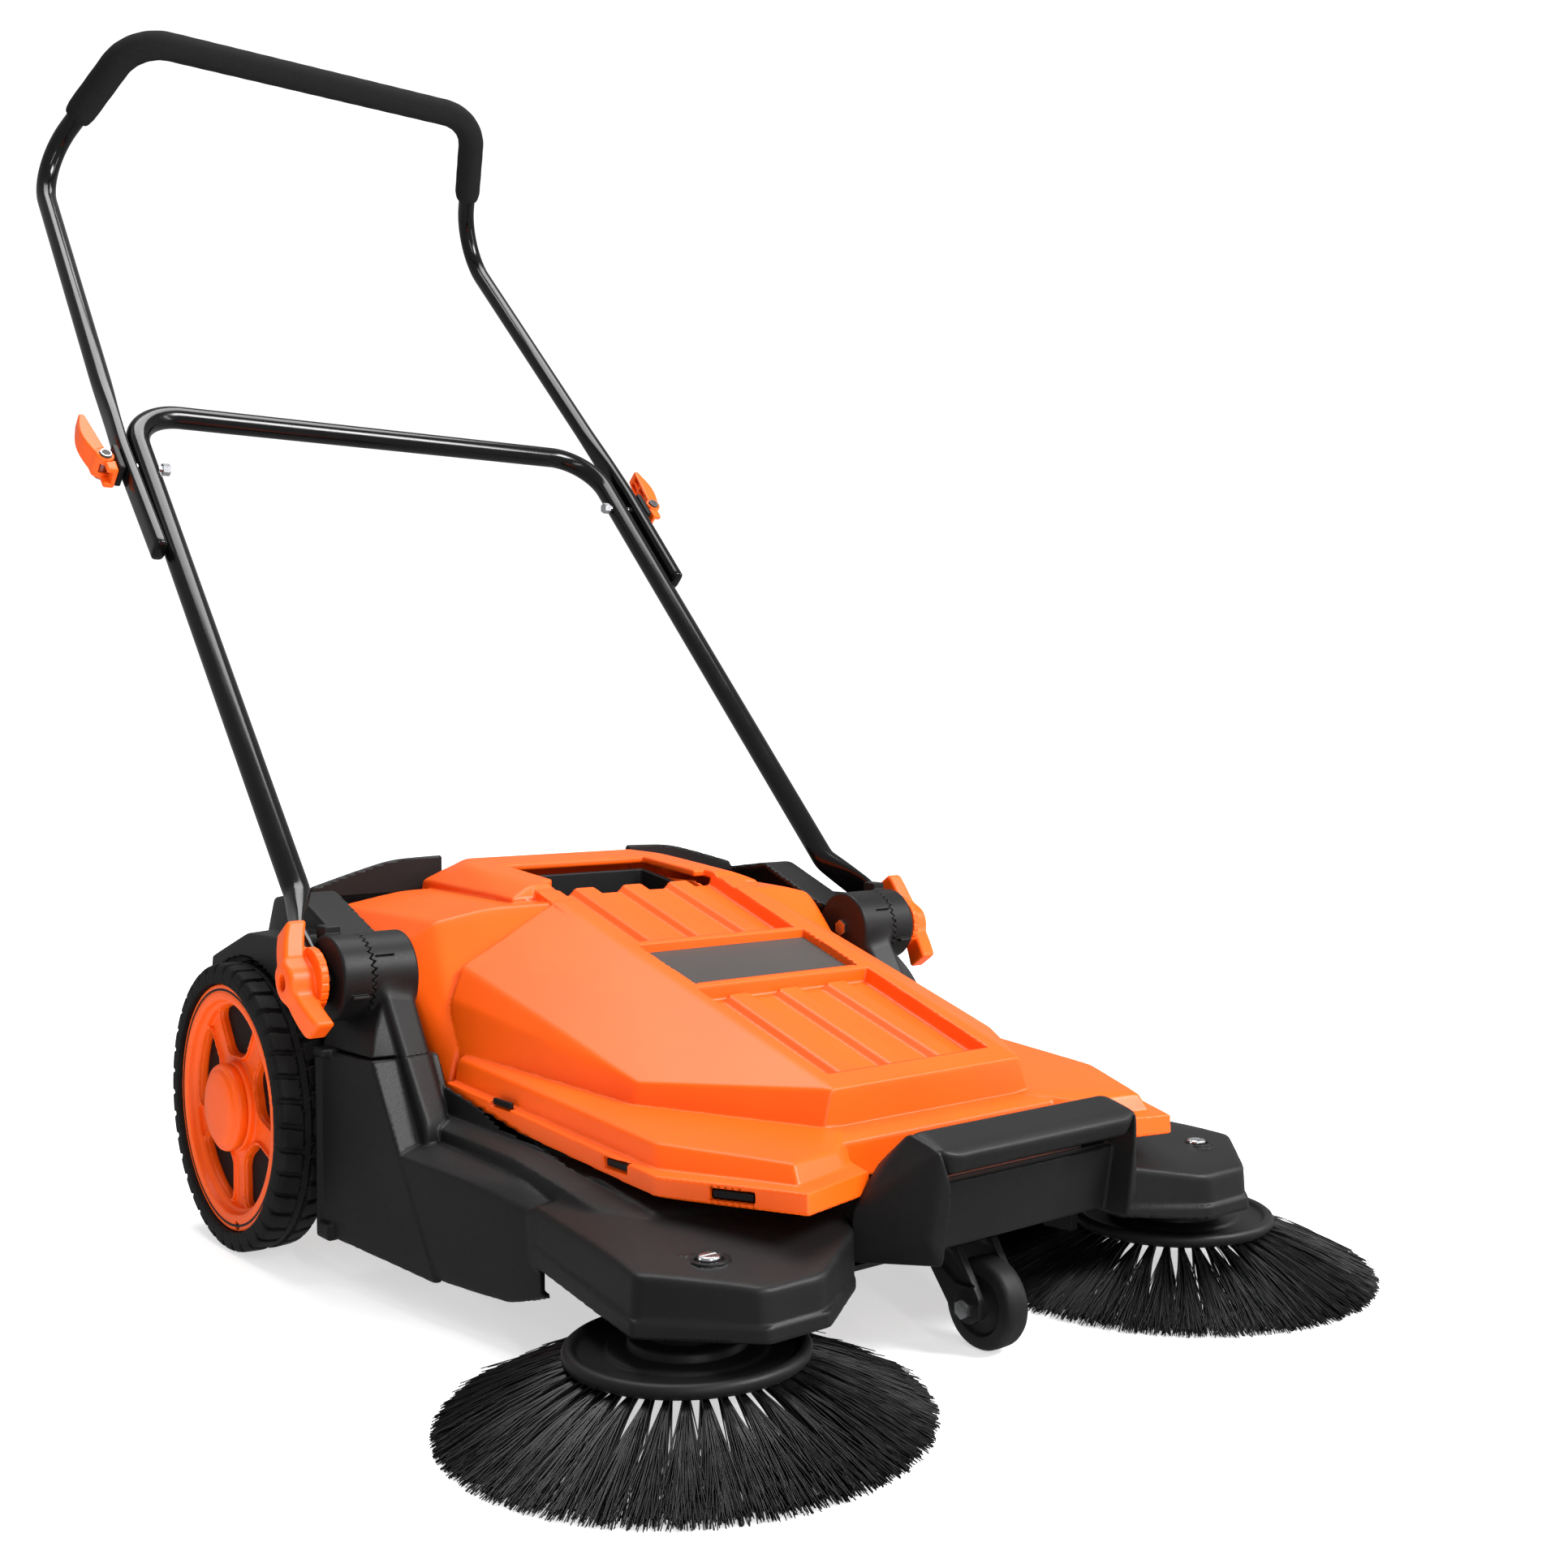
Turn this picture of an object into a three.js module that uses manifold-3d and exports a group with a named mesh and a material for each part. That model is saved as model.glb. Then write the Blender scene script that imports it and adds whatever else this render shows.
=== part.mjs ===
// Walk-behind sweeper with two disc brushes, modelled piece by piece.
//
// Units are millimetres. +Z is up, the ground is z = 0, the machine is pushed towards -Y and
// the operator walks at +Y. x = 0 is the plane of symmetry. "left" and "right" are the
// operator's: left is +X, right is -X.

import * as THREE from 'three';
import { ConvexGeometry } from 'three/addons/geometries/ConvexGeometry.js';
import { mergeVertices } from 'three/addons/utils/BufferGeometryUtils.js';
import Module from 'manifold-3d';

const wasm = await Module();
wasm.setup();

// ---------------------------------------------------------------- driving dimensions

const GAP = 0.3;                    // clearance between pieces that touch
const WALL = 3.5;                   // moulded wall

const BRUSH = { x: 274.5, y: -604.7, tip: 185.5, root: 78, plateR: 91.6, plateZ: 47, plateH: 12, spindleR: 8 };
const POD_SCREW = { y: -632, z: 128 };
const WHEEL = { y: 30, r: 139.3, rimR: 118.7, inner: 318.5, outer: 370.5, axleR: 8, hubR: 43 };
const CASTER = { swivelY: -592, y: -638, r: 37.5, halfWidth: 12, stemR: 8, forkTop: 96 };
const PIVOT = { y: -140, z: 280, r: 39, boltR: 5, inner: 264, seam: 312, paddle: 341, disc: 349.4 };
const LOWER = { r: 13, crossY: 443.7, crossZ: 865.2, topX: 310, footX: 322 };
const UPPER = { r: 11.5, tailX: 331, flatX: 327.8, bendX: 303.4, bendY: 778.3, bendZ: 1218 };
const GRIP = { x: 233.7, y: 618.3, z: 1355.2, foamR: 17.5, foamStart: 0.42 };
const CLAMP = { y: 374, z: 794, boltR: 4, face: 342.9 };
const BELT = { r: 3, x: 253, wheelGroove: 48, brushGroove: 21.5 };   // x is the brush pulley's inner side
const PULLEY_Z = WHEEL.r - BELT.wheelGroove;          // the tight strand runs level at this height
const HOPPER = { flangeX: 262, panelHalf: 98, slope: 0.302, panelZ0: 380.2 };
const BODY = { wallX: 308, rearY: 166, lowZ: 40, splitY: -118 };
const CENTRE_Y = 13.2;              // brings the middle of the machine's length over the origin

const SIDES = { left: 1, right: -1 };

// ---------------------------------------------------------------- materials

function plain(color, roughness, metalness = 0) {
  return new THREE.MeshStandardMaterial({ color, roughness, metalness });
}

const orange = plain(0xff6a1c, 0.42);
const black = plain(0x2b2b2c, 0.62);
const coated = plain(0x0b0b0c, 0.22, 0.3);
const foam = plain(0x101010, 0.95);
const tyreRubber = plain(0x121212, 0.88);
const beltRubber = plain(0x1a1a1a, 0.75);
const bristle = plain(0x0e0e0e, 0.7);
const steel = plain(0xb9bcc0, 0.3, 1);
const badgeGrey = plain(0x4a4846, 0.6);

// ---------------------------------------------------------------- solids

const P = (x, y, z) => new THREE.Vector3(x, y, z);

/** A manifold-3d solid from a closed three.js geometry. */
function solid(geometry) {
  let g = geometry.clone();
  g.deleteAttribute('normal');
  g.deleteAttribute('uv');
  g = mergeVertices(g, 1e-3);
  const index = [];
  for (let i = 0; i < g.index.count; i += 3) {
    const [a, b, c] = [g.index.getX(i), g.index.getX(i + 1), g.index.getX(i + 2)];
    if (a !== b && b !== c && c !== a) index.push(a, b, c);
  }
  return new wasm.Manifold(new wasm.Mesh({
    numProp: 3,
    vertProperties: new Float32Array(g.attributes.position.array),
    triVerts: new Uint32Array(index),
  }));
}

/** The three.js geometry of a manifold-3d solid. */
function geometryOf(body) {
  const mesh = body.getMesh();
  const g = new THREE.BufferGeometry();
  g.setAttribute('position', new THREE.BufferAttribute(new Float32Array(mesh.vertProperties), 3));
  g.setIndex(new THREE.BufferAttribute(new Uint32Array(mesh.triVerts), 1));
  g.computeVertexNormals();
  return g;
}

/** The union of several solids. */
function join(...parts) {
  return parts.flat().reduce((a, b) => a.add(b));
}

/** The first solid with the others cut away. */
function cut(from, ...tools) {
  return tools.flat().reduce((a, b) => a.subtract(b), from);
}

/** Convex solid around points given as [x, y, z]. */
function hull(points) {
  return solid(new ConvexGeometry(points.map((p) => P(...p))));
}

/** Points and their mirror images across x = 0. */
function both(points) {
  return points.flatMap(([x, y, z]) => [[x, y, z], [-x, y, z]]);
}

/** Points moved to side s. */
function onSide(s, points) {
  return points.map(([x, y, z]) => [s * x, y, z]);
}

/** Box from its low and high corners. */
function box(lo, hi) {
  const g = new THREE.BoxGeometry(hi[0] - lo[0], hi[1] - lo[1], hi[2] - lo[2]);
  g.translate((lo[0] + hi[0]) / 2, (lo[1] + hi[1]) / 2, (lo[2] + hi[2]) / 2);
  return solid(g);
}

/** Box on side s, with x measured outwards from the plane of symmetry. */
function sideBox(s, lo, hi) {
  return s > 0 ? box(lo, hi) : box([-hi[0], lo[1], lo[2]], [-lo[0], hi[1], hi[2]]);
}

/** Turns a geometry built along +Y so that it runs from a to b. */
function aim(g, a, b) {
  const way = b.clone().sub(a);
  g.applyQuaternion(new THREE.Quaternion().setFromUnitVectors(P(0, 1, 0), way.normalize()));
  return g;
}

/** Round rod from a to b. */
function rod(a, b, r, sides = 16) {
  const g = new THREE.CylinderGeometry(r, r, a.distanceTo(b), sides);
  aim(g, a, b);
  g.translate((a.x + b.x) / 2, (a.y + b.y) / 2, (a.z + b.z) / 2);
  return solid(g);
}

/** Rod along X on side s, from x0 out to x1, about (y, z). */
function crossRod(s, x0, x1, y, z, r, sides = 16) {
  return rod(P(s * x0, y, z), P(s * x1, y, z), r, sides);
}

/** Turned solid: profile points are [radius, distance along the axis] from base towards way. */
function turned(profile, base, way, segments) {
  const g = new THREE.LatheGeometry(profile.map(([r, h]) => new THREE.Vector2(r, h)), segments);
  aim(g, P(0, 0, 0), way);
  g.translate(base.x, base.y, base.z);
  const flipped = g.clone();
  const idx = flipped.index.array.slice();
  for (let i = 0; i < idx.length; i += 3) [idx[i], idx[i + 1]] = [idx[i + 1], idx[i]];
  flipped.setIndex(new THREE.BufferAttribute(idx, 1));
  const body = solid(g);
  return body.volume() > 0 ? body : solid(flipped);
}

/** Path that an ExtrudeGeometry follows from one station to the next, with no even spacing. */
class StationPath extends THREE.Curve {
  constructor(stations) {
    super();
    this.stations = stations;
    this.last = stations.length - 1;
  }

  getPointAt(u, target = P(0, 0, 0)) {
    return target.copy(this.stations[Math.round(u * this.last)]);
  }

  getTangentAt(u, target = P(0, 0, 0)) {
    const i = Math.round(u * this.last);
    const before = this.stations[Math.max(i - 1, 0)];
    const after = this.stations[Math.min(i + 1, this.last)];
    const here = this.stations[i];
    const into = here.clone().sub(before).normalize();
    const out = after.clone().sub(here).normalize();
    return target.copy(into).add(out).normalize();
  }
}

/** Stations along straight runs joined by rounded corners. */
function bentStations(corners, radii, perBend = 5) {
  const stations = [corners[0]];
  for (let i = 1; i < corners.length - 1; i += 1) {
    const into = corners[i].clone().sub(corners[i - 1]).normalize();
    const out = corners[i + 1].clone().sub(corners[i]).normalize();
    const turn = Math.acos(THREE.MathUtils.clamp(into.dot(out), -1, 1));
    const reach = radii[i - 1] * Math.tan(turn / 2);
    const bend = new THREE.QuadraticBezierCurve3(
      corners[i].clone().addScaledVector(into, -reach), corners[i], corners[i].clone().addScaledVector(out, reach));
    stations.push(...bend.getPoints(perBend));
  }
  stations.push(corners[corners.length - 1]);
  return stations;
}

/** Round bar swept through stations. */
function sweep(stations, r, sides = 12) {
  const ring = new THREE.Shape();
  ring.moveTo(r, 0);
  for (let i = 1; i < sides; i += 1) {
    const a = (2 * Math.PI * i) / sides;
    ring.lineTo(r * Math.cos(a), r * Math.sin(a));
  }
  ring.closePath();
  const path = new StationPath(stations);
  return solid(new THREE.ExtrudeGeometry(ring, { steps: path.last, extrudePath: path, curveSegments: 1 }));
}

// ---------------------------------------------------------------- scene graph

const sweeper = new THREE.Group();
sweeper.name = 'walk_behind_sweeper';
sweeper.position.y = CENTRE_Y;

function place(name, body, material) {
  const mesh = new THREE.Mesh(geometryOf(body), material);
  mesh.name = name;
  sweeper.add(mesh);
}

// ---------------------------------------------------------------- hopper

/** Height of the lid's sloping centre panel at y. */
function panelZ(y) {
  return HOPPER.panelZ0 + HOPPER.slope * y;
}

/** Corner points of the orange lid's convex blocks, drawn in by t; their open side drops by low. */
function lidBlocks(t, low) {
  const edge = HOPPER.flangeX - t;
  const skirt = both([
    [edge, -215, 172 - low], [edge, -545 + t, 150 - low], [205 - t, -604, 149 - low], [edge, -215, 188 - t],
    [edge, -545 + t, 166 - t], [205 - t, -604, 165 - t],
    [252 - t, -215, 210 - t], [250 - t, -527 + t, 189 - t], [180 - t, -592 + t, 184 - t],
  ]);
  const horns = [1, -1].map((s) => onSide(s, [
    [122 + t, -590, 149 - low], [205 - t, -660 + t, 149 - low], [edge - 20, -590, 149 - low],
    [128 + t, -640 + t, 149 - low], [122 + t, -590, 166 - t], [205 - t, -656 + t, 166 - t],
    [236 - t, -590, 166 - t], [128 + t, -636 + t, 166 - t],
    [180 - t, -615 + t, 184 - t], [130 + t, -600 + t, 180 - t], [200 - t, -585, 184 - t],
  ]));
  const plateau = both([
    [238 - t, -168, 215 - low], [edge - 14, -520 + t, 156 - low], [122, -585 + t, 156 - low],
    [215 - t, -168, 280 - t], [240 - t, -182, 250 - t], [246 - t, -200, 222 - t],
    [200 - t, -428 + t, 209 - t], [214 - t, -432 + t, 196 - t],
    [120 - t, -564 + t, 205 - t], [104 - t, -562 + t, 212 - t], [122 - t, -590 + t, 180 - t],
    [118 - t, -168, 338 - t],
  ]);
  const shoulder = both([
    [edge - 4, -209, 178 - low], [edge, -139, 247 - low], [edge, -20, 304 - low], [edge - 8, 54 - t, 312 - low],
    [edge - 2, -142, 264 - t], [edge - 14, -120, 306 - t], [226 - t, -130, 322 - t], [180 - t, -140, 333 - t],
    [edge - 18, 40 - t, 326 - t], [180 - t, 30 - t, 338 - t], [215 - t, -168, 282 - t], [240 - t, -178, 252 - t],
    [246 - t, -206, 215 - t], [118, -168, 336 - t],
  ]);
  const crown = both([
    [150 - t, -140, 250 - low], [150 - t, 56 - t, 310 - low], [122 - t, -128, 351 - t],
    [122 - t, 0, 363 - t], [104 - t, 38 - t, 366 - t], [150 - t, -140, 340 - t], [150 - t, 44 - t, 346 - t],
  ]);
  const tongue = both([
    [112 - t, 30, 364 - t], [112 - t, 52 - t, 356 - t], [112 - t, 66 - t, 300 - low], [112 - t, 30, 300 - low],
  ]);
  return [skirt, ...horns, plateau, shoulder, crown, tongue];
}

function buildLid() {
  const half = HOPPER.panelHalf;
  const rail = (x0, y0, up0, x1, y1, up1) => hull(both([
    [x0, y0, panelZ(y0) + up0], [x1, y1, panelZ(y1) + up1], [x0 + 4, y0, 290], [x1 + 2, y1, 190],
  ]));
  const rails = [rail(124, -128, 9, 118, -290, 2), rail(118.4, -280, 2.4, 110, -552, 1.5)];
  const outer = join(lidBlocks(0, 0).map(hull), rails);
  const underPanel = hull(both([
    [126, -122, panelZ(-122) - 6 - WALL], [112, -552, panelZ(-552) - 6 - WALL],
    [126, -122, 420], [112, -552, 420],
  ]));
  const hollow = cut(join(lidBlocks(WALL, 4 * WALL).map(hull)), underPanel);
  const bay = (y0, y1) => hull(both([[half, y0, -6], [half - 8, y1, -6], [half, y0, 40], [half - 8, y1, 40]]
    .map(([x, y, up]) => [x, y, panelZ(y) + up])));
  const badgeSeat = hull(both([[99, -279, -2.4], [96, -366, -2.4], [99, -279, 60], [96, -366, 60]]
    .map(([x, y, up]) => [x, y, panelZ(y) + up])));
  const grab = box([-84, -118, 296], [84, -16, 400]);
  const grabTray = cut(box([-87.5, -122, 292.5], [87.5, -12.5, 342]), grab);
  const slots = Object.values(SIDES).flatMap((s) => [[-310, 183], [-490, 164]].map(([y, z]) => (
    sideBox(s, [HOPPER.flangeX - 5, y - 16, z - 4], [HOPPER.flangeX + 8, y + 16, z + 4]))));
  const shell = cut(join(cut(outer, hollow), grabTray.intersect(outer)), grab);
  return cut(shell, bay(-128, -272), bay(-374, -545), badgeSeat, slots);
}

function buildBadge() {
  return hull(both([[98.6, -280, -2.4 + GAP], [95, -365, -2.4 + GAP], [98.6, -280, 0.5], [95, -365, 0.5]]
    .map(([x, y, up]) => [x, y, panelZ(y) + up])));
}

/** The black tub that hangs inside the lid; its front wall stops short to leave the mouth. */
function buildTub() {
  const shape = (t, top) => hull(both([
    [236 - t, -120, 52 + t], [232 - t, 20 - t, 70 + t], [214 - t, -470, 34 + t], [150 - t, -498, 34 + t],
    [246 - t, -150, 160 + top], [238 - t, 20 - t, 160 + top], [228 - t, -500, 144 + top], [170 - t, -552, 140 + top],
  ]));
  const rear = (t, top) => hull(both([
    [240 - t, -140 + t, 150 - top], [240 - t, 24 - t, 150 - top], [240 - t, -116 + t, 210 + top],
    [240 - t, 24 - t, 280 + top],
  ]));
  const mouth = box([-145, -600, 40], [145, -440, 112]);
  return cut(join(shape(0, 0), rear(0, 0)), shape(WALL, 12), rear(WALL, 12), mouth);
}

// ---------------------------------------------------------------- chassis

/** Room in the chassis for the tub, and above it for the lid, to lift out of. */
function hopperRoom() {
  return [
    hull(both([[250, 40, 20], [250, -300, 20], [233, -512, 20], [174, -560, 20],
      [250, 40, 460], [250, -300, 460], [233, -512, 460], [174, -560, 460]])),
    hull(both([[264.5, -100, 149], [264.5, -548, 149], [207, -664, 149], [264.5, -100, 460], [264.5, -548, 460],
      [207, -664, 460]])),
    hull(both([[266, -150, 176], [266, 62, 290], [266, -110, 290], [266, -150, 460], [266, 62, 460]])),
  ];
}

/** Outside of the lower body, grown by d. */
function bellyPoints(d) {
  return both([
    [338 + d, BODY.splitY + d, 44 - d], [338 + d, BODY.splitY + d, 196 + d], [322 + d, BODY.splitY + d, 214 + d],
    [316 + d, -300, 34 - d], [314 + d, -300, 150 + d], [300 + d, -500, 58 - d], [296 + d, -500, 128 + d],
    [286 + d, -300, 168 + d], [284 + d, BODY.splitY + d, 216 + d], [270, -560 - d, 134 + d],
    [270, -560 - d, 60 - d], [150, -600 - d, 60 - d], [150, -600 - d, 140 + d],
  ]);
}

function buildChassis() {
  const underside = hull(both([
    [332, BODY.splitY + 5, 20], [332, BODY.splitY + 5, 100], [311, -300, 20], [296, -500, 20],
    [292, -500, 112], [308, -300, 130], [328, BODY.splitY + 5, 190], [280, -300, 150],
    [276, BODY.splitY + 5, 200], [262, -540, 20], [262, -540, 112],
  ]));
  const pods = Object.values(SIDES).map((s) => hull(onSide(s, [
    [305, -430, 128], [333, -624, 125], [268, -690, 118], [212, -690, 116], [150, -650, 128], [130, -600, 138],
    [150, -540, 140], [255, -480, 144], [305, -440, 84], [336, -624, 82], [268, -694, 80], [216, -694, 80],
    [150, -650, 84], [140, -560, 84],
  ])));
  const podRooms = Object.values(SIDES).map((s) => hull(onSide(s, [
    [301, -440, 60], [329, -622, 60], [266, -686, 60], [214, -686, 60], [156, -648, 60], [150, -560, 60],
    [301, -436, 119], [326, -618, 118], [264, -682, 112], [216, -682, 110], [156, -646, 122], [160, -560, 128],
  ])));
  const front = hull(both([[152, -560, 60], [152, -560, 140], [140, -634, 98], [130, -634, 146]]));
  const frontRoom = hull(both([[148, -556, 50], [148, -556, 134], [136, -630, 50], [126, -630, 141]]));
  const stemHub = rod(P(0, CASTER.swivelY, 104), P(0, CASTER.swivelY, 144), 20, 20);
  const stemBore = rod(P(0, CASTER.swivelY, 50), P(0, CASTER.swivelY, 132), CASTER.stemR + GAP, 20);
  const spindleSeats = Object.values(SIDES).map((s) => rod(P(s * BRUSH.x, BRUSH.y, 106),
    P(s * BRUSH.x, BRUSH.y, 127), 20, 20));
  const spindleBores = Object.values(SIDES).map((s) => rod(P(s * BRUSH.x, BRUSH.y, 50),
    P(s * BRUSH.x, BRUSH.y, 121 + GAP), BRUSH.spindleR + GAP, 20));
  const screwBores = Object.values(SIDES).flatMap((s) => [
    rod(P(s * BRUSH.x, POD_SCREW.y, POD_SCREW.z), P(s * BRUSH.x, POD_SCREW.y, 160), 11, 20),
    rod(P(s * BRUSH.x, POD_SCREW.y, 123), P(s * BRUSH.x, POD_SCREW.y, 160), 3.3, 12),
  ]);
  const brushRoom = Object.values(SIDES).map((s) => rod(P(s * BRUSH.x, BRUSH.y, 20),
    P(s * BRUSH.x, BRUSH.y, 76), BRUSH.plateR + 5, 32));
  const shell = cut(join(hull(bellyPoints(0)), pods, front), underside, podRooms, frontRoom);
  return cut(join(shell, stemHub, spindleSeats), hopperRoom(), stemBore, spindleBores, screwBores,
    brushRoom);
}

/** Rear half of the chassis: side walls between the wheels, rear wall, wheel arches. */
function buildRearCover() {
  const X = BODY.wallX;
  const FRONT = BODY.splitY + GAP;
  const outer = hull(both([
    [X, FRONT, BODY.lowZ], [X, BODY.rearY - 20, BODY.lowZ], [X - 40, BODY.rearY, BODY.lowZ + 30],
    [X, FRONT, 300], [X, 0, 345], [X - 8, 73, 335], [X - 20, 150, 215], [X - 40, BODY.rearY, 190],
  ]));
  const hump = hull(both([
    [264, 73, 342], [264, 30, 345], [222, 71, 352], [180, 69, 367], [150, 69, 369], [150, 30, 369], [140, 20, 300],
    [264, 20, 300], [264, 120, 250], [140, 120, 250],
  ]));
  const inner = hull(both([
    [X - 4, -130, 0], [X - 4, BODY.rearY - 26, 0], [X - 44, BODY.rearY - 4, BODY.lowZ + 26],
    [X - 4, -130, 300], [X - 4, 0, 341], [X - 12, 70, 331], [X - 24, 146, 213], [X - 44, BODY.rearY - 4, 188],
  ]));
  const tongueRoom = box([-118, 40, 292], [118, 140, 420]);
  const arches = [1, -1].map((s) => hull(onSide(s, [
    [X - 4, -62, 312], [X - 4, 27, 309], [X - 4, 117, 279], [X - 4, -62, 303], [X - 4, 117, 268],
    [346, -54, 311], [346, 27, 307], [346, 117, 277], [346, -54, 303], [346, 117, 272], [346, 27, 296],
  ])));
  const wheelRoom = [1, -1].map((s) => crossRod(s, 312, 400, WHEEL.y, WHEEL.r, WHEEL.r + 9, 40));
  const sleeveHoles = [1, -1].map((s) => crossRod(s, 290, 330, WHEEL.y, WHEEL.r, 34));
  const drumRoom = [1, -1].map((s) => crossRod(s, 250, 330, PIVOT.y, PIVOT.z, PIVOT.r + 1, 32));
  const body = cut(join(outer, hump), inner, tongueRoom);
  return cut(join(body, arches.map((a) => cut(a, wheelRoom))), hopperRoom(), sleeveHoles, drumRoom);
}

/** Pillar with the fixed half of the ratchet that sets the handle's angle. */
function buildBracket(s) {
  const drum = crossRod(s, PIVOT.inner + 4, PIVOT.seam - GAP, PIVOT.y, PIVOT.z, PIVOT.r, 28);
  const pillar = hull(onSide(s, [
    [PIVOT.inner + 6, -118.4, 218], [306, -118.4, 218], [PIVOT.inner + 6, -260, 176], [306, -250, 166],
    [PIVOT.inner + 6, -176, 268], [306, -176, 262], [PIVOT.inner + 6, -118.4, 300], [306, -118.4, 300],
  ]));
  const seat = hull(bellyPoints(GAP));
  const bore = crossRod(s, 250, 330, PIVOT.y, PIVOT.z, PIVOT.boltR + GAP);
  return cut(join(drum, pillar), seat, bore);
}

function buildCarryHandle() {
  const bar = hull(both([[108, -664, 196], [104, -668, 199], [108, -700, 190], [96, -706, 184], [100, -700, 170],
    [108, -668, 176]]));
  const ends = [1, -1].map((s) => hull(onSide(s, [
    [104, -650, 186], [118, -640, 150], [118, -640.5, 100], [104, -640.5, 100], [108, -700, 190], [108, -664, 198],
    [100, -706, 150], [112, -700, 130], [100, -700, 108],
  ])));
  const apron = hull(both([[104, -706, 152], [104, -700, 100], [104, -698, 152], [104, -690, 100]]));
  const rear = hull(both([[118, -636.2, 170], [118, -636.2, 150], [118, -642, 150], [118, -646, 172],
    [90, -636.2, 170], [90, -642, 168]]));
  return cut(join(bar, ends, apron, rear), hull(both([[138, -560, 40], [142, -634.3, 40], [138, -560, 146.3],
    [134, -634.3, 146.3]])));
}

// ---------------------------------------------------------------- wheels and drive

function buildTyre(s) {
  const w = WHEEL.outer - WHEEL.inner;
  const r = WHEEL.r;
  return turned([
    [WHEEL.rimR + 0.6, 1], [r - 7, 0], [r, 9], [r, w - 9],
    [r - 7, w], [WHEEL.rimR + 0.6, w - 1], [WHEEL.rimR + 0.6, 1],
  ], P(s * WHEEL.inner, WHEEL.y, WHEEL.r), P(s, 0, 0), 40);
}

function buildRim(s) {
  const base = P(s * WHEEL.inner, WHEEL.y, WHEEL.r);
  const w = WHEEL.outer - WHEEL.inner;
  const ring = turned([[100, 6], [WHEEL.rimR, 4], [WHEEL.rimR, w - 4], [108, w - 4], [101, w - 12], [100, 6]],
    base, P(s, 0, 0), 40);
  const hub = turned([[WHEEL.axleR + 0.6, 0], [WHEEL.hubR, 0], [WHEEL.hubR, w - 8],
    [WHEEL.axleR + 0.6, w - 8], [WHEEL.axleR + 0.6, 0]], base, P(s, 0, 0), 20);
  const spokes = [];
  for (let i = 0; i < 5; i += 1) {
    const a = (2 * Math.PI * (i + 0.25)) / 5;
    const g = new THREE.BoxGeometry(26, 70, 21);
    g.translate(s * (WHEEL.inner + 24), 71, 0);
    g.rotateX(a);
    g.translate(0, WHEEL.y, WHEEL.r);
    spokes.push(solid(g));
  }
  return join(ring, hub, spokes);
}

function buildHubCap(s) {
  const x = WHEEL.outer - 8 + GAP;
  return turned([[0, 0], [41, 0], [41, 9], [36, 12.5], [0, 14]], P(s * x, WHEEL.y, WHEEL.r), P(s, 0, 0), 24);
}

function buildDrivePulley(s) {
  const bore = WHEEL.axleR + 0.6;
  const g = BELT.wheelGroove - BELT.r;
  const x0 = BELT.x - 8;
  const end = WHEEL.inner - GAP - x0;
  return turned([
    [bore, 0], [g + 4, 0], [g - 0.6, 5], [g - 0.6, 11], [g + 4, 16], [30, 16],
    [30, end], [bore, end], [bore, 0],
  ], P(s * x0, WHEEL.y, WHEEL.r), P(s, 0, 0), 28);
}

function buildBrushPulley(s) {
  const g = BELT.brushGroove - BELT.r;
  return turned([
    [8.3, 0], [g + 3, 0], [g - 0.8, 4], [g - 0.8, 12], [g + 3, 16], [8.3, 16], [8.3, 0],
  ], P(s * BRUSH.x, BRUSH.y, PULLEY_Z - 8), P(0, 0, 1), 20);
}

/** Quarter-turn round belt from the wheel's pulley to the brush's. */
function buildBelt(s) {
  const wheelArc = (a) => P(s * BELT.x, WHEEL.y + BELT.wheelGroove * Math.cos(a),
    WHEEL.r + BELT.wheelGroove * Math.sin(a));
  const brushArc = (a) => P(s * (BRUSH.x + BELT.brushGroove * Math.cos(a)),
    BRUSH.y + BELT.brushGroove * Math.sin(a), PULLEY_Z);
  const arc = (at, from, to, n) => Array.from({ length: n + 1 }, (_, i) => at(from + ((to - from) * i) / n));
  const overWheel = arc(wheelArc, -Math.PI / 2, Math.PI / 2, 10);
  const roundBrush = arc(brushArc, 2 * Math.PI, Math.PI, 8);
  const slackMid = overWheel[10].clone().lerp(roundBrush[0], 0.5);
  const tightMid = roundBrush[8].clone().lerp(overWheel[0], 0.5);
  const past = (a, b) => a.clone().lerp(b, 0.02);
  const rearHalf = [past(tightMid, roundBrush[8]), ...overWheel, past(slackMid, roundBrush[0])];
  const frontHalf = [past(slackMid, overWheel[10]), ...roundBrush, past(tightMid, overWheel[0])];
  return join(sweep(rearHalf, BELT.r, 8), sweep(frontHalf, BELT.r, 8));
}

// ---------------------------------------------------------------- brushes

function buildBrushPlate(s) {
  const { plateR, plateH } = BRUSH;
  const bore = BRUSH.spindleR + GAP;
  return turned([
    [bore, 0], [plateR - 6, 0], [plateR, 4], [plateR, 8], [plateR - 8, plateH], [plateR - 10, 7],
    [44, 7], [42, 18], [28, 24], [bore, 24], [bore, 0],
  ], P(s * BRUSH.x, BRUSH.y, BRUSH.plateZ), P(0, 0, 1), 32);
}

function buildBristles(s) {
  return turned([
    [BRUSH.root, 38], [BRUSH.root + 8, 46.5], [BRUSH.root + 12, 45], [BRUSH.tip - 40, 26], [BRUSH.tip, 8],
    [BRUSH.tip - 3, 0.3], [BRUSH.tip - 22, 0.3], [BRUSH.root, 38],
  ], P(s * BRUSH.x, BRUSH.y, 0), P(0, 0, 1), 36);
}

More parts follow.
